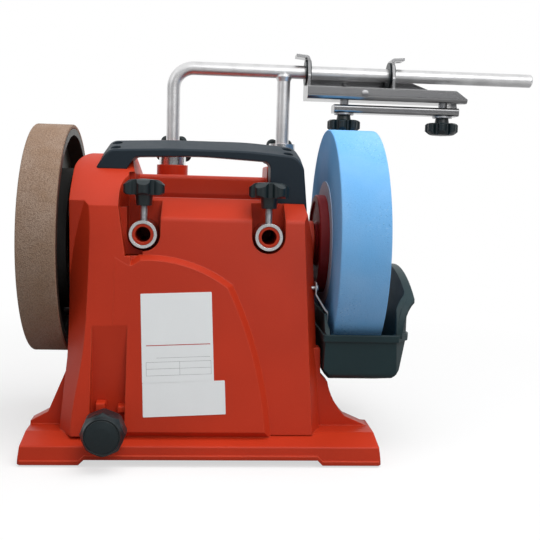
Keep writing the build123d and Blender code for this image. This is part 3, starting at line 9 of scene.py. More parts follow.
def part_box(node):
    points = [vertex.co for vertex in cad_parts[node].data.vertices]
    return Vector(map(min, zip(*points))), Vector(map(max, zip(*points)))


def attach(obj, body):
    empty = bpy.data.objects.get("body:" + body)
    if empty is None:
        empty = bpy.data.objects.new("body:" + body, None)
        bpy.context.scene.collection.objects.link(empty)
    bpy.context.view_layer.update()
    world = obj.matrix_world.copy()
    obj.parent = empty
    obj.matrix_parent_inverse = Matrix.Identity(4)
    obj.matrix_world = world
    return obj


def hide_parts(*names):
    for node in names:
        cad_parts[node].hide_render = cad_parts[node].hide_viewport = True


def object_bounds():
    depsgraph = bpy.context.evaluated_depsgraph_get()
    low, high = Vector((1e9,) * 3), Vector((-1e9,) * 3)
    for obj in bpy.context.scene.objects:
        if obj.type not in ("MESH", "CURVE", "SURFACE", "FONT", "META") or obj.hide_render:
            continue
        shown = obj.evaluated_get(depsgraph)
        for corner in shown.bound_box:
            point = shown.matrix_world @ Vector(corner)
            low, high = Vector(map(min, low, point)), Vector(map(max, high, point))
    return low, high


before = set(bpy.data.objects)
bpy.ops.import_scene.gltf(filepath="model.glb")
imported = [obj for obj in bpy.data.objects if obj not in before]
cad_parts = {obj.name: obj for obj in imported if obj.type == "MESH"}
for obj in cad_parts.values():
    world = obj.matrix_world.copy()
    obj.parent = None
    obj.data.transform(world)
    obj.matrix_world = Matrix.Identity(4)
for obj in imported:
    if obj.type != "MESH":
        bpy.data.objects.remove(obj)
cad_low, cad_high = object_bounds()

bl_info = {
    "name": "Wet sharpening machine",
    "version": (1, 0, 0),
    "blender": (4, 5, 0),
    "location": "View3D > Sidebar > Sharpener",
    "description": "Finishes, small fittings and studio for a two-wheel wet sharpening machine",
    "category": "Object",
}

# The wheel shaft lies along X; its height comes from the frame.
shaft_low, shaft_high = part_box("main_shaft")
shaft_z = (shaft_low.z + shaft_high.z) / 2
shaft_radius = (shaft_high.z - shaft_low.z) / 2

# The trough: how far its rim lies below the shaft, and where its splash wall starts along X.
rim_below_shaft = 0.067
splash_wall_x = 0.146
# How far outwards and down the splash wall's lip runs at each end, step by step.
lip_bends = (
    (0.0029, 0.0024), (0.0059, 0.0060), (0.0084, 0.0110), (0.0104, 0.0180), (0.0118, 0.0278)
)
# How far the lip draws in towards the wall on that run, and what is left of its width each step.
lip_draw_in = 0.77
lip_narrowing = 0.9
# The planes that take off the splash wall's corners: outwards, down, and turn in degrees.
corner_cuts = ((0.0003, 0.0, 45.0), (0.0059, 0.0060, 69.0))
# A face is cut at the lip's end if it reaches this near to it, and lies this high above the rim.
lip_reach, lip_height = 0.004, 0.012
wall_reach, wall_height = 0.0035, 0.006


def screen(red, green, blue):
    """A screen colour from 0 to 255 as the linear colour that Blender uses."""
    def linear(value):
        value = value / 255
        return value / 12.92 if value <= 0.04045 else ((value + 0.055) / 1.055) ** 2.4

    return linear(red), linear(green), linear(blue)


def shaded(base, factor, lift=0.0):
    """A colour made darker or brighter by a factor, and paler by a lift."""
    return tuple(value * factor + lift for value in base)


def colour(name, description, default):
    """A property that holds a colour."""
    return FloatVectorProperty(
        name=name, description=description, subtype="COLOR", size=3, min=0, max=1, default=default
    )


def length(name, description, default):
    """A property that holds a length in metres."""
    return FloatProperty(
        name=name, description=description, default=default, min=0, unit="LENGTH", precision=5
    )


class SharpenerColours(bpy.types.PropertyGroup):
    """Colours of the machine's finishes"""

    housing: colour("Housing", "Red of the moulded housing", screen(192, 53, 27))
    housing_worn: colour("Housing edges", "Paler red where edges are rubbed", screen(210, 84, 52))
    # The flange's deep red is painted shade: a darker copy of the housing red that stands in for
    # the shadow in the gap beside the stone.
    flange: colour("Stone flange", "Deep red of the flange beside the stone", screen(128, 26, 30))
    handle: colour("Handle", "Dark blue grey of the carrying handle", screen(29, 41, 50))
    black: colour("Knobs", "Near black of knobs and bushes", screen(17, 32, 36))
    drum: colour("Honing drum", "Olive black of the honing wheel's drum", screen(46, 47, 39))
    trough: colour("Trough", "Dark grey green of the water trough", screen(28, 50, 54))
    steel: colour("Bright steel", "Reflected tint of bar and sleeve steel", (0.80, 0.80, 0.805))
    jig_steel: colour("Jig steel", "Reflected tint of the pressed jig", (0.33, 0.33, 0.335))
    zinc: colour("Zinc", "Reflected tint of zinc plated steel", (0.60, 0.61, 0.63))
    stone: colour("Stone", "Main blue of the grinding stone", screen(118, 182, 236))
    stone_dark: colour("Stone specks", "Darker blue of the coarse grains", screen(70, 128, 190))
    leather: colour("Leather", "Brown of the honing leather", screen(146, 120, 99))
    leather_dark: colour("Leather grain", "Dark brown in the leather's grain", screen(104, 80, 64))
    paper: colour("Paper", "Pale grey of the stone's paper discs", screen(190, 204, 224))
    label: colour("Labels", "White of the blank labels", screen(234, 237, 238))
    label_line: colour("Label lines", "Grey of the label's ruled lines", screen(120, 124, 126))
    label_rule: colour("Label rule", "Red of the label's broad rule", screen(176, 48, 40))
    rubber: colour("Rubber", "Black of the rubber feet", screen(34, 33, 32))
    bronze: colour("Bronze", "Reflected tint of the bearing bronze", (0.62, 0.36, 0.16))
    motor: colour("Motor", "Black paint of the motor", screen(44, 46, 50))
    board: colour("Board", "Green of the speed control board", screen(30, 92, 58))


class SharpenerSizes(bpy.types.PropertyGroup):
    """Sizes of the pieces that are made here"""

    stone_edge: length("Stone edge", "Rounding of the grinding stone's rim", 0.0012)
    leather_edge: length("Leather edge", "Rounding of the leather's edges", 0.0009)
    thread_pitch: length("Thread pitch", "Pitch of the clamp screws", 0.001)
    thread_depth: length("Thread depth", "Depth of the clamp screws' thread", 0.00055)
    label_thickness: length("Label thickness", "Thickness of the blank labels", 0.00025)
    label_corner: length("Label corner", "Corner radius of the blank labels", 0.0007)
    label_tilt: FloatProperty(
        name="Label tilt", description="How far the labels are stuck on askew", unit="ROTATION",
        default=math.radians(2.6),
    )
    lip_half_length: length("Splash lip", "Half the length of the lip on the splash wall", 0.0716)
    lip_width: length("Lip width", "Width of the lip on the splash wall", 0.007)
    dimple: length("Jig dimple", "Diameter of the pressed dimple on the jig", 0.0074)
    stud: length("Jig stud", "Diameter of the stud inside the jig's rear flange", 0.0042)
    tab_depth: length("Tab depth", "How far the tabs stand out above the speed knob", 0.009)
    wheel_steps: IntProperty(
        name="Wheel steps", description="Faces round the stone and the leather", default=192,
        min=24,
    )


class SharpenerStage(bpy.types.PropertyGroup):
    """Camera, lamps and floor"""

    camera_place: FloatVectorProperty(
        name="Camera", description="Where the camera stands", subtype="TRANSLATION", unit="LENGTH",
        default=(-0.0017, -0.7392, 0.2177),
    )
    camera_yaw: FloatProperty(
        name="Yaw", description="Turn of the camera to the right", unit="ROTATION",
        default=math.radians(4.55),
    )
    camera_pitch: FloatProperty(
        name="Pitch", description="Downward look of the camera", unit="ROTATION",
        default=math.radians(5.95),
    )
    camera_roll: FloatProperty(
        name="Roll", description="Tilt of the camera", unit="ROTATION", default=math.radians(-1.65)
    )
    camera_lens: FloatProperty(
        name="Lens", description="Focal length on a 36 mm frame", unit="CAMERA", default=56.0
    )
    top_lamp: FloatProperty(
        name="Top lamp", description="Power of the softbox overhead", unit="POWER", default=14.0
    )
    front_lamp: FloatProperty(
        name="Front lamp", description="Power of the softbox at the front", unit="POWER",
        default=5.5,
    )
    side_lamp: FloatProperty(
        name="Side lamp", description="Power of the softbox at the left", unit="POWER", default=1.4
    )
    room_light: FloatProperty(
        name="Room light", description="Light from the room's ceiling", default=0.5, min=0
    )
    floor_shade: FloatProperty(
        name="Floor", description="Brightness of the pale floor", default=0.86, min=0, max=1
    )


class Shade:
    """A socket of a node tree that takes part in arithmetic."""

    def __init__(self, graph, socket):
        self.graph = graph
        self.socket = socket

    def __add__(self, other):
        return self.graph.math("ADD", self, other)

    def __radd__(self, other):
        return self.graph.math("ADD", other, self)

    def __sub__(self, other):
        return self.graph.math("SUBTRACT", self, other)

    def __rsub__(self, other):
        return self.graph.math("SUBTRACT", other, self)

    def __mul__(self, other):
        return self.graph.math("MULTIPLY", self, other)

    def __rmul__(self, other):
        return self.graph.math("MULTIPLY", other, self)

    def __gt__(self, other):
        return self.graph.math("GREATER_THAN", self, other)

    def __lt__(self, other):
        return self.graph.math("LESS_THAN", self, other)


class Graph:
    """A node tree with one method that adds any node to it."""

    def __init__(self, tree):
        self.tree = tree
        tree.nodes.clear()

    def node(self, kind, settings=None, inputs=None, output=0):
        """Add a node: its settings first, then the values or links of its sockets."""
        made = self.tree.nodes.new(kind)
        for name, value in (settings or {}).items():
            setattr(made, name, value)
        for name, value in (inputs or {}).items():
            self.feed(made.inputs[name], value)
        return Shade(self, made.outputs[output]) if made.outputs else None

    def feed(self, socket, value):
        """Link a socket to a shade, or set its constant value."""
        if isinstance(value, Shade):
            self.tree.links.new(value.socket, socket)
        elif socket.type == "RGBA" and len(value) == 3:
            socket.default_value = (*value, 1.0)
        else:
            socket.default_value = value

    def math(self, operation, first, second=0.0):
        return self.node("ShaderNodeMath", {"operation": operation}, {0: first, 1: second})

    def within(self, value, low, high):
        """0 below low, 1 above high, smooth between."""
        return self.node(
            "ShaderNodeMapRange", {"interpolation_type": "SMOOTHSTEP"},
            {"Value": value, "From Min": low, "From Max": high},
        )

    def mix(self, factor, first, second):
        settings = {"data_type": "RGBA", "clamp_factor": True}
        return self.node("ShaderNodeMix", settings, {0: factor, 6: first, 7: second}, 2)


class Finish(Graph):
    """A procedural material on Object coordinates."""

    def __init__(self, name, **constants):
        self.material = bpy.data.materials.new(name)
        self.material.use_nodes = True
        super().__init__(self.material.node_tree)
        inputs = {socket.replace("_", " "): value for socket, value in constants.items()}
        self.surface = self.node("ShaderNodeBsdfPrincipled", None, inputs)
        self.node("ShaderNodeOutputMaterial", None, {"Surface": self.surface})
        self.place = self.node("ShaderNodeTexCoord", output="Object")

    def set(self, socket, value):
        self.feed(self.surface.socket.node.inputs[socket], value)

    def axes(self):
        return [self.node("ShaderNodeSeparateXYZ", None, {0: self.place}, i) for i in range(3)]

    def vector(self, x, y, z):
        return self.node("ShaderNodeCombineXYZ", None, {0: x, 1: y, 2: z})

    def noise(self, scale, detail=2.0, roughness=0.5, place=None):
        inputs = {
            "Vector": place or self.place, "Scale": scale, "Detail": detail, "Roughness": roughness
        }
        return self.node("ShaderNodeTexNoise", None, inputs)

    def cells(self, scale, output="Distance"):
        inputs = {"Vector": self.place, "Scale": scale}
        return self.node("ShaderNodeTexVoronoi", None, inputs, output)

    def soft_normal(self, radius):
        """The surface normal with its sharp edges rounded off."""
        return self.node("ShaderNodeBevel", {"samples": 6}, {"Radius": radius})

    def edge(self, soft):
        """1 along sharp edges, 0 on flat and gently curved surfaces."""
        true = self.node("ShaderNodeNewGeometry", output="Normal")
        settings = {"operation": "DOT_PRODUCT"}
        along = self.node("ShaderNodeVectorMath", settings, {0: soft, 1: true}, "Value")
        return self.within(1.0 - along, 0.01, 0.16)

    def bump(self, height, strength, distance, normal=None):
        inputs = {"Strength": strength, "Distance": distance, "Height": height}
        if normal:
            inputs["Normal"] = normal
        self.set("Normal", self.node("ShaderNodeBump", None, inputs))


def moulded(
    name, base, worn, roughness=0.34, grain=1500.0, depth=0.16, edge_radius=0.0011, gloss=0.5
):
    """Moulded plastic: spark-eroded grain, a slow drift of colour and rubbed edges."""
    finish = Finish(name, Specular_IOR_Level=gloss)
    drift = finish.noise(9.0, 3.0)
    mottle = finish.noise(130.0, 3.0, 0.6)
    pits = finish.noise(grain, 2.0, 0.6)
    soft = finish.soft_normal(edge_radius)
    edge = finish.edge(soft)
    deep = shaded(base, 0.84)
    shade = finish.mix(finish.within(drift, 0.3, 0.7), deep, base)
    shade = finish.mix(finish.within(pits, 0.55, 0.8) * 0.25, shade, worn)
    finish.set("Base Color", finish.mix(edge * (0.35 + 0.5 * mottle), shade, worn))
    finish.set("Roughness", roughness - 0.06 + 0.12 * mottle + 0.06 * pits)
    finish.bump(pits + 0.35 * mottle, depth, 0.0003, soft)
    return finish.material


def ground_steel(name, tint, roughness=0.2, grain=1.0):
    """Ground or pressed steel: fine rings, as strong as the grain, with faint smears."""
    finish = Finish(name, Metallic=1.0)
    x, y, z = finish.axes()
    rings = finish.noise(2600.0, 2.0, 0.7, finish.vector(x + z, y * 0.02, 0.0))
    smear = finish.noise(55.0, 4.0, 0.6)
    dull = shaded(tint, 0.82)
    finish.set("Base Color", finish.mix(finish.within(smear, 0.35, 0.75), tint, dull))
    finish.set("Roughness", roughness - 0.05 + 0.1 * smear + (0.08 * grain) * rings)
    finish.bump(rings + 0.3 * smear, 0.05 * grain, 0.0002, finish.soft_normal(0.0005))
    return finish.material


def zinc_plate(name, tint):
    """Zinc plate: small crystals that differ in brightness, duller in patches."""
    finish = Finish(name, Metallic=1.0)
    crystal = finish.cells(620.0, "Color")
    flake = finish.node("ShaderNodeSeparateColor", None, {0: crystal}, 0)
    patch = finish.noise(90.0, 3.0, 0.6)
    dull = shaded(tint, 0.68)
    finish.set("Base Color", finish.mix(0.45 * flake + 0.5 * patch, tint, dull))
    finish.set("Roughness", 0.24 + 0.14 * flake + 0.16 * patch)
    finish.bump(flake + patch, 0.06, 0.0002, finish.soft_normal(0.0005))
    return finish.material


def stone_finish(name, base, specks):
    """Bonded abrasive: fine even grit with coarse dark and pale grains."""
    finish = Finish(name, Specular_IOR_Level=0.08)
    clouds = finish.noise(22.0, 3.0, 0.5)
    worn = finish.within(finish.noise(17.0, 2.0), 0.46, 0.66)
    grit = finish.noise(1500.0, 3.0, 0.7)
    near = finish.cells(950.0)
    pick = finish.node("ShaderNodeSeparateColor", None, {0: finish.cells(950.0, "Color")}, 0)
    grain = 1.0 - finish.within(near, 0.25, 0.5)
    dark = grain * (pick > 0.86) * worn
    pale = grain * (pick < 0.1) * worn
    light = shaded(base, 0.92, 0.08)
    shade = finish.mix(finish.within(clouds, 0.3, 0.72), base, light)
    shade = finish.mix(finish.within(grit, 0.45, 0.8) * 0.28, shade, specks)
    shade = finish.mix(pale * 0.3, shade, (0.8, 0.9, 0.98))
    finish.set("Base Color", finish.mix(dark * 0.75, shade, specks))
    finish.set("Roughness", 0.74 + 0.2 * grit)
    finish.bump(grit + 0.4 * dark - 0.5 * near, 0.32, 0.0005, finish.soft_normal(0.0006))
    return finish.material


def leather_finish(name, base, dark, seam_angle):
    """Honing leather: pebbled grain, streaks of polish round the wheel and one glued lap."""
    finish = Finish(name, Specular_IOR_Level=0.35)
    x, y, z = finish.axes()
    turn = finish.math("ARCTAN2", y, z - shaft_z)
    streak = finish.noise(1.0, 4.0, 0.65, finish.vector(x * 900.0, turn * 1.3, 0.0))
    clouds = finish.noise(34.0, 4.0, 0.65)
    pebble = finish.cells(1000.0)
    fibre = finish.noise(2600.0, 2.0, 0.7)
    # The lap runs aslant, by 9 radians a metre from the middle of the band.
    slant = 9.0 * (x + 0.129)
    lap = finish.math("ABSOLUTE", turn - seam_angle - slant)
    seam = 1.0 - finish.within(lap, 0.003, 0.008)
    pale = shaded(base, 0.93, 0.07)
    shade = finish.mix(finish.within(clouds, 0.3, 0.7), base, pale)
    shade = finish.mix(finish.within(streak, 0.5, 0.8) * 0.35, shade, dark)
    shade = finish.mix(finish.within(pebble, 0.3, 0.8) * 0.5, shade, dark)
    finish.set("Base Color", finish.mix(seam * 0.85, shade, dark))
    finish.set("Roughness", 0.58 + 0.2 * clouds + 0.12 * streak)
    relief = fibre * 0.4 - pebble + 0.3 * streak - seam
    finish.bump(relief, 0.42, 0.0005, finish.soft_normal(0.0006))
    return finish.material


def paper_finish(name, base, fibres=0.5):
    """Pressed paper or film: short fibres and a faint cloudiness."""
    finish = Finish(name, Specular_IOR_Level=0.3)
    x, y, z = finish.axes()
    fibre = finish.noise(900.0, 3.0, 0.7, finish.vector(x, y * 0.3, z))
    clouds = finish.noise(40.0, 3.0)
    dull = shaded(base, 0.86)
    finish.set("Base Color", finish.mix(fibres * fibre + 0.3 * clouds, base, dull))
    finish.set("Roughness", 0.5 + 0.25 * clouds + 0.15 * fibre)
    finish.bump(fibre, 0.08 * fibres, 0.0002)
    return finish.material


def cast_bronze(name, tint):
    """Bearing bronze: fine pores and patches of tarnish."""
    finish = Finish(name, Metallic=1.0)
    pores = finish.noise(900.0, 3.0, 0.7)
    tarnish = finish.noise(60.0, 4.0, 0.6)
    dull = shaded(tint, 0.5)
    finish.set("Base Color", finish.mix(finish.within(tarnish, 0.4, 0.75), tint, dull))
    finish.set("Roughness", 0.3 + 0.25 * tarnish)
    finish.bump(pores, 0.1, 0.0002, finish.soft_normal(0.0004))
    return finish.material


def circuit_board(name, base):
    """Lacquered board with pale copper runs under the lacquer."""
    finish = Finish(name)
    x, y, z = finish.axes()
    bands = finish.node(
        "ShaderNodeTexBrick", {"offset": 0.5, "squash": 0.7},
        {"Vector": finish.vector(x, z, 0.0), "Scale": 120.0, "Mortar Size": 0.04}, "Fac",
    )
    clouds = finish.noise(60.0, 3.0)
    run = shaded(base, 1.7)
    finish.set("Base Color", finish.mix(bands * (0.5 + 0.4 * clouds), base, run))
    finish.set("Roughness", 0.35 + 0.15 * clouds)
    finish.bump(bands, 0.1, 0.0002)
    return finish.material


def dress(finish, *nodes):
    """Give CAD nodes a finish."""
    for node in nodes:
        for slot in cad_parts[node].material_slots:
            slot.material = finish


def make_piece(shape, name, body, slot, *finishes, crease=35.0):
    """Turn a bmesh into a piece of the machine that rides on a body."""
    mesh = bpy.data.meshes.new(name)
    shape.to_mesh(mesh)
    shape.free()
    if mesh.has_custom_normals:
        mesh.attributes.remove(mesh.attributes["custom_normal"])
    for finish in finishes:
        mesh.materials.append(finish)
    mesh.shade_smooth()
    mesh.set_sharp_from_angle(angle=math.radians(crease))
    piece = bpy.data.objects.new(name, mesh)
    bpy.context.scene.collection.objects.link(piece)
    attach(piece, body)
    return piece


def whole(shape):
    """Everything in a bmesh, as its operators take it."""
    return shape.verts[:] + shape.edges[:] + shape.faces[:]


def close_up(shape):
    """Merge a spun shape's seam and turn its faces outwards."""
    bmesh.ops.remove_doubles(shape, verts=shape.verts, dist=1e-6)
    bmesh.ops.recalc_face_normals(shape, faces=shape.faces)


def shave(shape, geom, spot, way, near=1e-6):
    """Cut off what lies beyond a plane and close the cut with one face."""
    cut = bmesh.ops.bisect_plane(
        shape, geom=geom, dist=near, plane_co=spot, plane_no=way, clear_outer=True
    )
    loop = [item for item in cut["geom_cut"] if isinstance(item, bmesh.types.BMEdge)]
    return bmesh.ops.contextual_create(shape, geom=loop)["faces"][0]


def round_edges(shape, radius, segments=3, sharper_than=40.0):
    """Round every edge that turns by more than an angle."""
    limit = math.radians(sharper_than)
    sharp = [edge for edge in shape.edges if edge.calc_face_angle(0.0) > limit]
    bmesh.ops.bevel(
        shape, geom=sharp, offset=radius, offset_type="OFFSET", affect="EDGES",
        segments=segments, profile=0.5, material=-1,
    )


def turned_ring(left, right, inner, outer, steps):
    """A ring with a square section, turned about the wheel shaft."""
    shape = bmesh.new()
    corners = [(left, inner), (right, inner), (right, outer), (left, outer)]
    verts = [shape.verts.new((x, 0.0, shaft_z + radius)) for x, radius in corners]
    edges = [shape.edges.new((verts[i - 1], verts[i])) for i in range(4)]
    bmesh.ops.spin(
        shape, geom=verts + edges, cent=(0, 0, shaft_z), axis=(1, 0, 0), angle=math.tau,
        steps=steps, use_merge=True,
    )
    close_up(shape)
    return shape


def threaded_rod(low, high, pitch, depth, axis):
    """A screw thread with flat ends that fills a box along one axis.

    The tooth is given as radius and share of the pitch; the thread starts below the box and runs
    past it, and both ends are cut flat.
    """
    size = high - low
    run = size[axis]
    crest = min(size[i] for i in range(3) if i != axis) / 2
    root = crest - depth
    turn_steps = 20
    lead_in = 1.5
    turns = math.ceil(run / pitch) + 2
    shape = bmesh.new()
    tooth = [(root, 0.0), (root, 0.15), (crest, 0.5), (crest, 0.62), (root, 1.0)]
    verts = [shape.verts.new((radius, 0.0, (at - lead_in) * pitch)) for radius, at in tooth]
    edges = [shape.edges.new(pair) for pair in zip(verts, verts[1:])]
    bmesh.ops.spin(
        shape, geom=verts + edges, cent=(0, 0, 0), axis=(0, 0, 1), angle=math.tau * turns,
        dvec=(0, 0, pitch / turn_steps), steps=turn_steps * turns,
    )
    bmesh.ops.remove_doubles(shape, verts=shape.verts, dist=1e-6)
    for end, way in ((0.0, -1.0), (run, 1.0)):
        shave(shape, whole(shape), (0, 0, end), (0, 0, way), 1e-7)
    bmesh.ops.recalc_face_normals(shape, faces=shape.faces)
    turn = Vector((0, 0, 1)).rotation_difference(Vector([float(i == axis) for i in range(3)]))
    foot = (low + high) / 2
    foot[axis] = low[axis]
    move = Matrix.Translation(foot) @ turn.to_matrix().to_4x4()
    bmesh.ops.transform(shape, matrix=move, verts=shape.verts)
    return shape


def gather(faces):
    """Faces with their edges and corners, each once."""
    return list(dict.fromkeys(
        item for face in faces for item in (face, *face.edges, *face.verts)
    ))


def cut_lip(shape, way, half_length, inside, rim):
    """Shorten one end of the splash wall's lip and return the face that closes it."""
    lip = []
    for face in shape.faces:
        spot = face.calc_center_median()
        above = spot.z > rim + lip_height
        if spot.x > inside - 1e-5 and above and spot.y * way > half_length - lip_reach:
            lip.append(face)
    return shave(shape, gather(lip), (0, way * half_length, 0), (0, way, 0))


def cut_corner(shape, way, half_length, rim, end):
    """Take off one upper corner of the splash wall, beside the end of its lip."""
    top = max(vert.co.z for vert in end.verts)
    for out, down, turn in corner_cuts:
        wall = []
        for face in shape.faces:
            spot = face.calc_center_median()
            tall = max(vert.co.z for vert in face.verts) > rim + wall_height
            beside = spot.x > splash_wall_x and spot.y * way > half_length - wall_reach
            if beside and tall and face != end:
                wall.append(face)
        angle = math.radians(turn)
        shave(
            shape, gather(wall), (0, way * (half_length + out), top - down),
            (0, way * math.sin(angle), math.cos(angle)),
        )


def lead_down(shape, way, end):
    """Lead the lip on from its end, outwards and down to the trough's rim."""
    gone_out, gone_down = 0.0, 0.0
    for out, down in lip_bends:
        run = bmesh.ops.extrude_face_region(shape, geom=[end])["geom"]
        bmesh.ops.delete(shape, geom=[end], context="FACES_ONLY")
        end = next(item for item in run if isinstance(item, bmesh.types.BMFace))
        inner = min(vert.co.x for vert in end.verts)
        step = out - gone_out
        bmesh.ops.scale(
            shape, vec=(lip_narrowing, 1, 1), verts=end.verts[:],
            space=Matrix.Translation((-inner, 0, 0)),
        )
        bmesh.ops.translate(
            shape, vec=(-lip_draw_in * step, way * step, gone_down - down), verts=end.verts[:]
        )
        gone_out, gone_down = out, down


def rounded_trough(half_length, lip_width):
    """A copy of the trough whose splash wall and lip curve down to the rim at both ends."""
    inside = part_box("water_trough")[1].x - lip_width
    rim = shaft_z - rim_below_shaft
    shape = bmesh.new()
    shape.from_mesh(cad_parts["water_trough"].data)
    bmesh.ops.remove_doubles(shape, verts=shape.verts, dist=1e-6)
    bmesh.ops.bisect_plane(
        shape, geom=whole(shape), dist=1e-5, plane_co=(inside, 0, 0), plane_no=(1, 0, 0)
    )
    for way in (-1.0, 1.0):
        end = cut_lip(shape, way, half_length, inside, rim)
        cut_corner(shape, way, half_length, rim, end)
        lead_down(shape, way, end)
    bmesh.ops.recalc_face_normals(shape, faces=shape.faces)
    loose = sum(not edge.is_manifold for edge in shape.edges)
    if loose:
        raise RuntimeError(f"the trough's mesh has {loose} open edges")
    return shape


def turned_button(place, way, radius, height, dome):
    """A small round head standing on a surface, with a domed edge."""
    shape = bmesh.new()
    bmesh.ops.create_cone(
        shape, cap_ends=True, segments=32, radius1=radius, radius2=radius, depth=height
    )
    bmesh.ops.translate(shape, vec=(0, 0, height / 2), verts=shape.verts)
    rim = [edge for edge in shape.edges if all(vert.co.z > height * 0.9 for vert in edge.verts)]
    bmesh.ops.bevel(
        shape, geom=rim, offset=dome, offset_type="OFFSET", affect="EDGES", segments=4,
        profile=0.5, material=-1,
    )
    turn = Vector((0, 0, 1)).rotation_difference(Vector(way)).to_matrix().to_4x4()
    bmesh.ops.transform(shape, matrix=Matrix.Translation(place) @ turn, verts=shape.verts)
    return shape


def on_housing(x, z):
    """A point on the front of the housing, and the frame of the surface there."""
    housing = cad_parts["housing"]
    in_front = cad_low.y - 0.1
    hit, place, normal, _ = housing.ray_cast((x, in_front, z), (0, 1, 0))
    if not hit:
        raise RuntimeError(f"no housing wall at x {x:.3f}, z {z:.3f}")
    out = normal.normalized()
    across = Vector((0, 0, 1)).cross(out).normalized()
    up = out.cross(across)
    turn = Matrix((across, up, out)).transposed().to_4x4()
    return Matrix.Translation(place) @ turn


def blank_label(width, height, thickness, corner, prints):
    """A thin sticker with rounded corners and printed bars (left, bottom, right, top, ink)."""
    shape = bmesh.new()
    bmesh.ops.create_grid(shape, x_segments=1, y_segments=1, size=0.5)
    bmesh.ops.scale(shape, vec=(width, height, 1), verts=shape.verts)
    bmesh.ops.bevel(
        shape, geom=shape.verts[:], offset=corner, offset_type="OFFSET", affect="VERTICES",
        segments=5, profile=0.5, material=-1,
    )
    sheet = bmesh.ops.extrude_face_region(shape, geom=shape.faces[:], use_keep_orig=True)
    top = [item for item in sheet["geom"] if isinstance(item, bmesh.types.BMVert)]
    bmesh.ops.translate(shape, vec=(0, 0, thickness), verts=top)
    for left, bottom, right, upper, ink in prints:
        for at, way in (((left, 0, 0), (1, 0, 0)), ((right, 0, 0), (1, 0, 0)),
                        ((0, bottom, 0), (0, 1, 0)), ((0, upper, 0), (0, 1, 0))):
            bmesh.ops.bisect_plane(
                shape, geom=whole(shape), dist=1e-6, plane_co=at, plane_no=way
            )
    bmesh.ops.recalc_face_normals(shape, faces=shape.faces)
    for face in shape.faces:
        spot = face.calc_center_median()
        for left, bottom, right, upper, ink in prints:
            if spot.z > thickness * 0.9 and left < spot.x < right and bottom < spot.y < upper:
                face.material_index = ink
    return shape


class SHARPENER_OT_housing(bpy.types.Operator):
    """Give the housing and the bar sockets' liners their red moulded finish"""

    bl_idname = "sharpener.housing"
    bl_label = "Housing"

    def execute(self, context):
        colours = context.scene.sharpener_colours
        red = moulded(
            "red_moulded_plastic", colours.housing, colours.housing_worn, roughness=0.36, gloss=0.24
        )
        dress(red, "housing")
        dress(red, "front_bush_left", "front_bush_right", "rear_bush_left", "rear_bush_right")
        return {"FINISHED"}


class SHARPENER_OT_channel_tabs(bpy.types.Operator):
    """Add the two moulded tabs on the wall above the speed knob"""

    bl_idname = "sharpener.channel_tabs"
    bl_label = "Channel tabs"

    def execute(self, context):
        depth = context.scene.sharpener_sizes.tab_depth
        red = bpy.data.materials["red_moulded_plastic"]
        tabs = (
            ("left", -0.0832, -0.0752, 0.0372, 0.0448),
            ("right", -0.0664, -0.0585, 0.0362, 0.0424),
        )
        sunk = 0.0005
        taper = (0.86, 1.0, 0.8)
        rounding = 0.0007
        for side, left, right, bottom, top in tabs:
            middle = Vector(((left + right) / 2, 0.0, (bottom + top) / 2))
            middle.y = on_housing(middle.x, middle.z).to_translation().y - depth / 2 + sunk
            size = (right - left, depth + 2 * sunk, top - bottom)
            shape = bmesh.new()
            bmesh.ops.create_cube(shape, size=1.0)
            bmesh.ops.scale(shape, vec=size, verts=shape.verts)
            front = [vert for vert in shape.verts if vert.co.y < 0]
            bmesh.ops.scale(shape, vec=taper, verts=front)
            round_edges(shape, rounding)
            bmesh.ops.translate(shape, vec=middle, verts=shape.verts)
            make_piece(shape, f"channel_tab_{side}", "machine", "red_plastic", red)
        return {"FINISHED"}


class SHARPENER_OT_handle(bpy.types.Operator):
    """Give the carrying handle its dark moulded finish"""

    bl_idname = "sharpener.handle"
    bl_label = "Handle"

    def execute(self, context):
        colours = context.scene.sharpener_colours
        pale = shaded(colours.handle, 0.9, 0.03)
        dark = moulded(
            "dark_handle_plastic", colours.handle, pale, roughness=0.44, depth=0.2, gloss=0.24
        )
        dress(dark, "handle")
        return {"FINISHED"}


class SHARPENER_OT_labels(bpy.types.Operator):
    """Stick the two blank labels on the raised front panel"""

    bl_idname = "sharpener.labels"
    bl_label = "Blank labels"

    def execute(self, context):
        colours = context.scene.sharpener_colours
        sizes = context.scene.sharpener_sizes
        film = paper_finish("label_film", colours.label, fibres=0.25)
        line = paper_finish("label_line", colours.label_line, fibres=0.25)
        rule = paper_finish("label_rule", colours.label_rule, fibres=0.25)
        line_ink, rule_ink = 1, 2
        thin = 0.0001
        rows = (-0.0188, -0.0240, -0.0292)
        columns = (-0.0244, 0.0015, 0.0258)
        prints = [(columns[0], row - thin, columns[2], row + thin, line_ink) for row in rows]
        prints += [(at - thin, rows[2], at + thin, rows[0], line_ink) for at in columns]
        line_above = (-0.0164, -0.0157, 0.0252, -0.0155, line_ink)
        broad_rule = (-0.0242, -0.0062, 0.0256, -0.0055, rule_ink)
        prints += [line_above, broad_rule]
        places = (
            ("upper_label", -0.0211, 0.0955, 0.0555, 0.0695, prints),
            ("lower_label", -0.0147, 0.0489, 0.0638, 0.0262, ()),
        )
        tilt = Matrix.Rotation(sizes.label_tilt, 4, "Z")
        for name, x, z, width, height, marks in places:
            shape = blank_label(width, height, sizes.label_thickness, sizes.label_corner, marks)
            bmesh.ops.transform(shape, matrix=on_housing(x, z) @ tilt, verts=shape.verts)
            make_piece(shape, name, "machine", "paper_disc", film, line, rule)
        return {"FINISHED"}


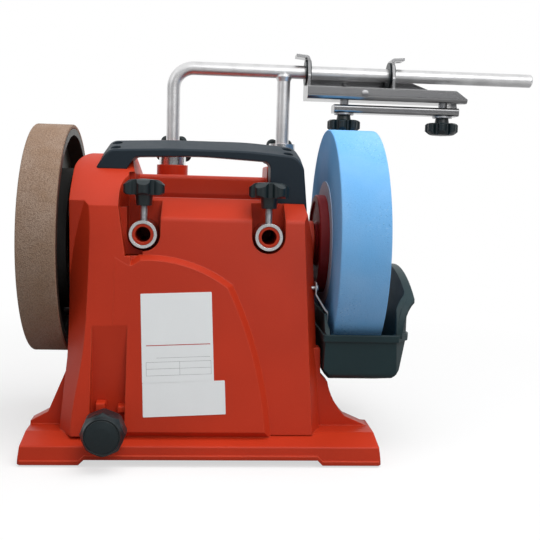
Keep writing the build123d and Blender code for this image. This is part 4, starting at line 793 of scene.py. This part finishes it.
class SHARPENER_OT_stone(bpy.types.Operator):
    """Turn the grinding stone and finish its paper discs and flange"""

    bl_idname = "sharpener.stone"
    bl_label = "Grinding stone"

    def execute(self, context):
        colours = context.scene.sharpener_colours
        sizes = context.scene.sharpener_sizes
        low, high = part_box("grinding_stone")
        outer = (high.z - low.z) / 2
        bore_gap = 0.0001
        shape = turned_ring(low.x, high.x, shaft_radius + bore_gap, outer, sizes.wheel_steps)
        round_edges(shape, sizes.stone_edge)
        blue = stone_finish("blue_bonded_grit", colours.stone, colours.stone_dark)
        stone = make_piece(shape, "turned_stone", "wheels", "blue_stone", blue)
        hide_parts("grinding_stone")
        dress(paper_finish("grey_paper", colours.paper), "stone_paper_discs")
        # The flange's darker red is painted shade for the gap beside the stone; only its paler
        # rubbed edges are wear.
        worn = shaded(colours.flange, 1.4, 0.01)
        deep = moulded("painted_shade_red_plastic", colours.flange, worn, roughness=0.42, gloss=0.25)
        dress(deep, "stone_flange")
        return {"FINISHED"}


class SHARPENER_OT_honing_wheel(bpy.types.Operator):
    """Wrap the honing leather round its drum and finish the drum and the drive wheel"""

    bl_idname = "sharpener.honing_wheel"
    bl_label = "Honing wheel"

    def execute(self, context):
        colours = context.scene.sharpener_colours
        sizes = context.scene.sharpener_sizes
        low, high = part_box("leather_band")
        drum_low, drum_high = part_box("honing_wheel")
        inner = (drum_high.z - drum_low.z) / 2
        outer = (high.z - low.z) / 2
        shape = turned_ring(low.x, high.x, inner, outer, sizes.wheel_steps)
        round_edges(shape, sizes.leather_edge)
        brown = leather_finish(
            "brown_leather", colours.leather, colours.leather_dark, seam_angle=2.2
        )
        band = make_piece(shape, "wrapped_leather", "wheels", "brown_leather", brown)
        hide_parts("leather_band")
        pale = shaded(colours.drum, 0.8, 0.03)
        drum = moulded("drum_plastic", colours.drum, pale, roughness=0.42, gloss=0.4)
        dress(drum, "honing_wheel", "drive_wheel")
        return {"FINISHED"}


class SHARPENER_OT_clamp_screws(bpy.types.Operator):
    """Cut the threads of the four clamp screws"""

    bl_idname = "sharpener.clamp_screws"
    bl_label = "Clamp screws"

    def execute(self, context):
        sizes = context.scene.sharpener_sizes
        zinc = bpy.data.materials["zinc_plated_steel"]
        for row, axis in (("front", 2), ("rear", 1)):
            for side in ("left", "right"):
                node = f"{row}_screw_{side}"
                low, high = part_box(node)
                shape = threaded_rod(low, high, sizes.thread_pitch, sizes.thread_depth, axis)
                body = f"{row}_clamp_{side}"
                screw = make_piece(shape, f"{row}_thread_{side}", body, "zinc_steel", zinc)
                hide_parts(node)
        return {"FINISHED"}


class SHARPENER_OT_knobs(bpy.types.Operator):
    """Finish the clamp knobs, the speed knob and the other black fittings"""

    bl_idname = "sharpener.knobs"
    bl_label = "Knobs"

    def execute(self, context):
        colours = context.scene.sharpener_colours
        pale = shaded(colours.black, 0.8, 0.035)
        black = moulded(
            "black_knob_plastic", colours.black, pale, roughness=0.32, edge_radius=0.0007
        )
        dress(black, "front_knob_left", "front_knob_right", "rear_knob_left", "rear_knob_right")
        dress(black, "jig_knob_left", "jig_knob_right", "speed_knob", "jig_bushes")
        dress(black, "potentiometer", "inlet_gland", "gland_nut")
        return {"FINISHED"}


class SHARPENER_OT_steelwork(bpy.types.Operator):
    """Finish the tool support, its sleeves, the jig and all plated fasteners"""

    bl_idname = "sharpener.steelwork"
    bl_label = "Steelwork"

    def execute(self, context):
        colours = context.scene.sharpener_colours
        dress(ground_steel("satin_bar_steel", colours.steel, roughness=0.36), "support_bar")
        chrome = ground_steel("chromed_steel", colours.steel)
        dress(chrome, "front_sleeve_left", "front_sleeve_right")
        dress(chrome, "rear_sleeve_left", "rear_sleeve_right")
        pressed = ground_steel("pressed_jig_steel", colours.jig_steel, grain=0.25)
        dress(pressed, "jig_carrier", "jig_clamp_bar")
        zinc = zinc_plate("zinc_plated_steel", colours.zinc)
        dress(zinc, "main_shaft", "stone_washer", "stone_nut", "honing_washer", "honing_nut")
        dress(zinc, "jig_screws", "jig_washers", "handle_screws", "trough_clip", "clip_screw")
        dress(zinc, "base_plate", "base_screws", "motor_bracket", "motor_screws", "bracket_bolts")
        dress(zinc, "motor_shaft", "motor_rotor", "friction_roller", "pot_nut", "speed_spindle")
        return {"FINISHED"}


class SHARPENER_OT_jig_details(bpy.types.Operator):
    """Add the pressed dimple on the jig's front flange and the stud inside its rear flange"""

    bl_idname = "sharpener.jig_details"
    bl_label = "Jig details"

    def execute(self, context):
        sizes = context.scene.sharpener_sizes
        steel = bpy.data.materials["pressed_jig_steel"]
        low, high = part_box("jig_carrier")
        front = (0, -1, 0)
        on_flange = (0.1403, low.y + 0.0002, low.z + 0.0055)
        behind_bar = (0.1265, high.y - 0.0024, low.z + 0.0168)
        buttons = (
            ("flange_dimple", on_flange, sizes.dimple, 0.0004, 0.0002),
            ("flange_stud", behind_bar, sizes.stud, 0.0062, 0.0005),
        )
        for name, place, width, height, dome in buttons:
            shape = turned_button(place, front, width / 2, height, dome)
            make_piece(shape, name, "jig", "bright_steel", steel)
        return {"FINISHED"}


class SHARPENER_OT_trough(bpy.types.Operator):
    """Round the ends of the trough's splash lip and finish the trough"""

    bl_idname = "sharpener.trough"
    bl_label = "Water trough"

    def execute(self, context):
        colours = context.scene.sharpener_colours
        sizes = context.scene.sharpener_sizes
        pale = shaded(colours.trough, 0.9, 0.03)
        grey = moulded(
            "trough_plastic", colours.trough, pale, roughness=0.44, grain=1100.0, depth=0.22,
            gloss=0.32,
        )
        shape = rounded_trough(sizes.lip_half_length, sizes.lip_width)
        trough = make_piece(shape, "lipped_trough", "trough", "trough_plastic", grey, crease=28.0)
        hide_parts("water_trough")
        return {"FINISHED"}


class SHARPENER_OT_drive(bpy.types.Operator):
    """Finish the rubber feet, bearings, motor and speed control board"""

    bl_idname = "sharpener.drive"
    bl_label = "Feet and drive"

    def execute(self, context):
        colours = context.scene.sharpener_colours
        pale = shaded(colours.rubber, 1.0, 0.03)
        rubber = moulded(
            "black_rubber", colours.rubber, pale, roughness=0.72, grain=900.0, depth=0.3, gloss=0.25
        )
        dress(rubber, "rubber_feet", "friction_ring")
        dress(cast_bronze("bearing_bronze", colours.bronze), "shaft_bearings")
        worn = shaded(colours.motor, 1.0, 0.05)
        paint = moulded(
            "motor_paint", colours.motor, worn, roughness=0.3, grain=700.0, depth=0.1
        )
        dress(paint, "motor_can")
        dress(circuit_board("control_board", colours.board), "control_board")
        return {"FINISHED"}


class SHARPENER_OT_stage(bpy.types.Operator):
    """Set up the pale floor, the softboxes, the room and the camera"""

    bl_idname = "sharpener.stage"
    bl_label = "Stage"

    def softbox(self, name, power, size, place, target, mirrored=True):
        """An area lamp aimed at a point, which glossy surfaces mirror or don't."""
        lamp = bpy.data.lights.new(name, "AREA")
        lamp.shape = "RECTANGLE"
        lamp.size, lamp.size_y = size
        lamp.energy = power
        lamp_object = bpy.data.objects.new(name, lamp)
        bpy.context.scene.collection.objects.link(lamp_object)
        lamp_object.location = place
        lamp_object.visible_glossy = mirrored
        way = Vector(target) - Vector(place)
        lamp_object.rotation_euler = way.to_track_quat("-Z", "Y").to_euler()

    def floor(self, shade):
        """A pale floor that runs out to white and keeps the shadow beside the machine."""
        shape = bmesh.new()
        bmesh.ops.create_grid(shape, x_segments=1, y_segments=1, size=6.0)
        mesh = bpy.data.meshes.new("studio_floor")
        shape.to_mesh(mesh)
        shape.free()
        floor = bpy.data.objects.new("studio_floor", mesh)
        bpy.context.scene.collection.objects.link(floor)
        material = bpy.data.materials.new("studio_floor")
        material.use_nodes = True
        mesh.materials.append(material)
        graph = Graph(material.node_tree)
        place = graph.node("ShaderNodeTexCoord", output="Object")
        away = graph.node("ShaderNodeVectorMath", {"operation": "LENGTH"}, {0: place}, "Value")
        seen = graph.node("ShaderNodeLightPath", output="Is Camera Ray")
        mirrored = graph.node("ShaderNodeLightPath", output="Is Glossy Ray")
        bounced = 0.3
        tone = graph.mix(seen, (bounced,) * 3, (shade,) * 3)
        matt = graph.node("ShaderNodeBsdfDiffuse", None, {"Color": tone})
        white = graph.node("ShaderNodeEmission", None, {"Color": (1, 1, 1), "Strength": 1.0})
        # Near the machine the floor is this far towards plain white, and the rest takes shadow.
        near_white = 0.62
        far = near_white + (1 - near_white) * graph.within(away, 0.2, 0.75)
        back = graph.node("ShaderNodeSeparateXYZ", None, {0: place}, 1)
        pale = near_white + (1 - near_white) * graph.within(back, -0.4, 0.3)
        blank = graph.math("MAXIMUM", seen * far, mirrored * graph.within(away, 0.25, 1.2) * pale)
        mixed = graph.node("ShaderNodeMixShader", None, {0: blank, 1: matt, 2: white})
        graph.node("ShaderNodeOutputMaterial", None, {"Surface": mixed})

    def room(self, scene, strength):
        """A room that is white to the camera, and darker at the front in reflections."""
        world = bpy.data.worlds.new("studio_room")
        world.use_nodes = True
        scene.world = world
        graph = Graph(world.node_tree)
        seen = graph.node("ShaderNodeLightPath", output="Is Camera Ray")
        mirrored = graph.node("ShaderNodeLightPath", output="Is Glossy Ray")
        through = graph.node("ShaderNodeLightPath", output="Is Transmission Ray")
        way = graph.node("ShaderNodeTexCoord", output="Generated")
        height = graph.node("ShaderNodeSeparateXYZ", None, {0: way}, 2)
        back = graph.node("ShaderNodeSeparateXYZ", None, {0: way}, 1)
        lit = graph.math("MAXIMUM", graph.within(height, -0.05, 0.7), graph.within(back, 0.0, 0.6))
        walls = graph.mix(lit, (0.13, 0.135, 0.145), (1, 1, 1))
        white = graph.node("ShaderNodeBackground", None, {"Color": (1, 1, 1), "Strength": 1.0})
        mirror = graph.node("ShaderNodeBackground", None, {"Color": walls, "Strength": 1.0})
        ceiling = graph.mix(graph.within(height, 0.0, 0.9), (0.36, 0.36, 0.37), (1, 1, 1))
        even = graph.node("ShaderNodeBackground", None, {"Color": ceiling, "Strength": strength})
        shiny = graph.math("MAXIMUM", mirrored, through)
        mixed = graph.node("ShaderNodeMixShader", None, {0: shiny, 1: even, 2: mirror})
        mixed = graph.node("ShaderNodeMixShader", None, {0: seen, 1: mixed, 2: white})
        graph.node("ShaderNodeOutputWorld", None, {"Surface": mixed})

    def camera(self, scene, stage):
        """A camera where the photograph was taken from."""
        yaw, pitch, roll = stage.camera_yaw, stage.camera_pitch, stage.camera_roll
        ahead = Vector((
            math.sin(yaw) * math.cos(pitch), math.cos(yaw) * math.cos(pitch), -math.sin(pitch)
        ))
        level = Vector((math.cos(yaw), -math.sin(yaw), 0.0))
        below = ahead.cross(level)
        right = level * math.cos(roll) + below * math.sin(roll)
        down = below * math.cos(roll) - level * math.sin(roll)
        lens = bpy.data.cameras.new("studio_camera")
        lens.sensor_width = 36.0
        lens.lens = stage.camera_lens
        lens.clip_start, lens.clip_end = 0.01, 30.0
        camera = bpy.data.objects.new("studio_camera", lens)
        scene.collection.objects.link(camera)
        turn = Matrix((right, -down, -ahead)).transposed().to_4x4()
        camera.matrix_world = Matrix.Translation(stage.camera_place) @ turn
        scene.camera = camera

    def execute(self, context):
        scene = context.scene
        stage = scene.sharpener_stage
        scene.view_settings.view_transform = "Standard"
        self.floor(stage.floor_shade)
        self.room(scene, stage.room_light)
        middle = (0.03, 0.0, 0.15)
        top, front, side = (0.3, -0.2, 1.25), (0.5, -1.2, 0.95), (-1.1, -0.6, 0.7)
        self.softbox("top_softbox", stage.top_lamp, (1.2, 1.0), top, middle, mirrored=False)
        self.softbox("front_softbox", stage.front_lamp, (0.9, 0.9), front, middle)
        self.softbox("side_softbox", stage.side_lamp, (0.6, 0.9), side, middle)
        self.camera(scene, stage)
        return {"FINISHED"}


class SHARPENER_PT_panel(bpy.types.Panel):
    """Lists the steps that finish the sharpening machine"""

    bl_idname = "SHARPENER_PT_panel"
    bl_label = "Wet sharpening machine"
    bl_space_type = "VIEW_3D"
    bl_region_type = "UI"
    bl_category = "Sharpener"

    def draw(self, context):
        for step in steps:
            self.layout.operator(step.bl_idname)
        scene = context.scene
        for group in (scene.sharpener_colours, scene.sharpener_sizes, scene.sharpener_stage):
            for name in type(group).__annotations__:
                self.layout.prop(group, name)


groups = (SharpenerColours, SharpenerSizes, SharpenerStage)
steps = (
    SHARPENER_OT_stage,
    SHARPENER_OT_housing,
    SHARPENER_OT_channel_tabs,
    SHARPENER_OT_handle,
    SHARPENER_OT_labels,
    SHARPENER_OT_steelwork,
    SHARPENER_OT_jig_details,
    SHARPENER_OT_clamp_screws,
    SHARPENER_OT_knobs,
    SHARPENER_OT_stone,
    SHARPENER_OT_honing_wheel,
    SHARPENER_OT_trough,
    SHARPENER_OT_drive,
)


def register():
    for item in (*groups, *steps, SHARPENER_PT_panel):
        bpy.utils.register_class(item)
    bpy.types.Scene.sharpener_colours = PointerProperty(type=SharpenerColours)
    bpy.types.Scene.sharpener_sizes = PointerProperty(type=SharpenerSizes)
    bpy.types.Scene.sharpener_stage = PointerProperty(type=SharpenerStage)


def unregister():
    del bpy.types.Scene.sharpener_stage
    del bpy.types.Scene.sharpener_sizes
    del bpy.types.Scene.sharpener_colours
    for item in reversed((*groups, *steps, SHARPENER_PT_panel)):
        bpy.utils.unregister_class(item)


def main():
    register()
    bpy.ops.sharpener.stage()
    bpy.ops.sharpener.housing()
    bpy.ops.sharpener.channel_tabs()
    bpy.ops.sharpener.handle()
    bpy.ops.sharpener.labels()
    bpy.ops.sharpener.steelwork()
    bpy.ops.sharpener.jig_details()
    bpy.ops.sharpener.clamp_screws()
    bpy.ops.sharpener.knobs()
    bpy.ops.sharpener.stone()
    bpy.ops.sharpener.honing_wheel()
    bpy.ops.sharpener.trough()
    bpy.ops.sharpener.drive()


if __name__ == "__main__":
    main()
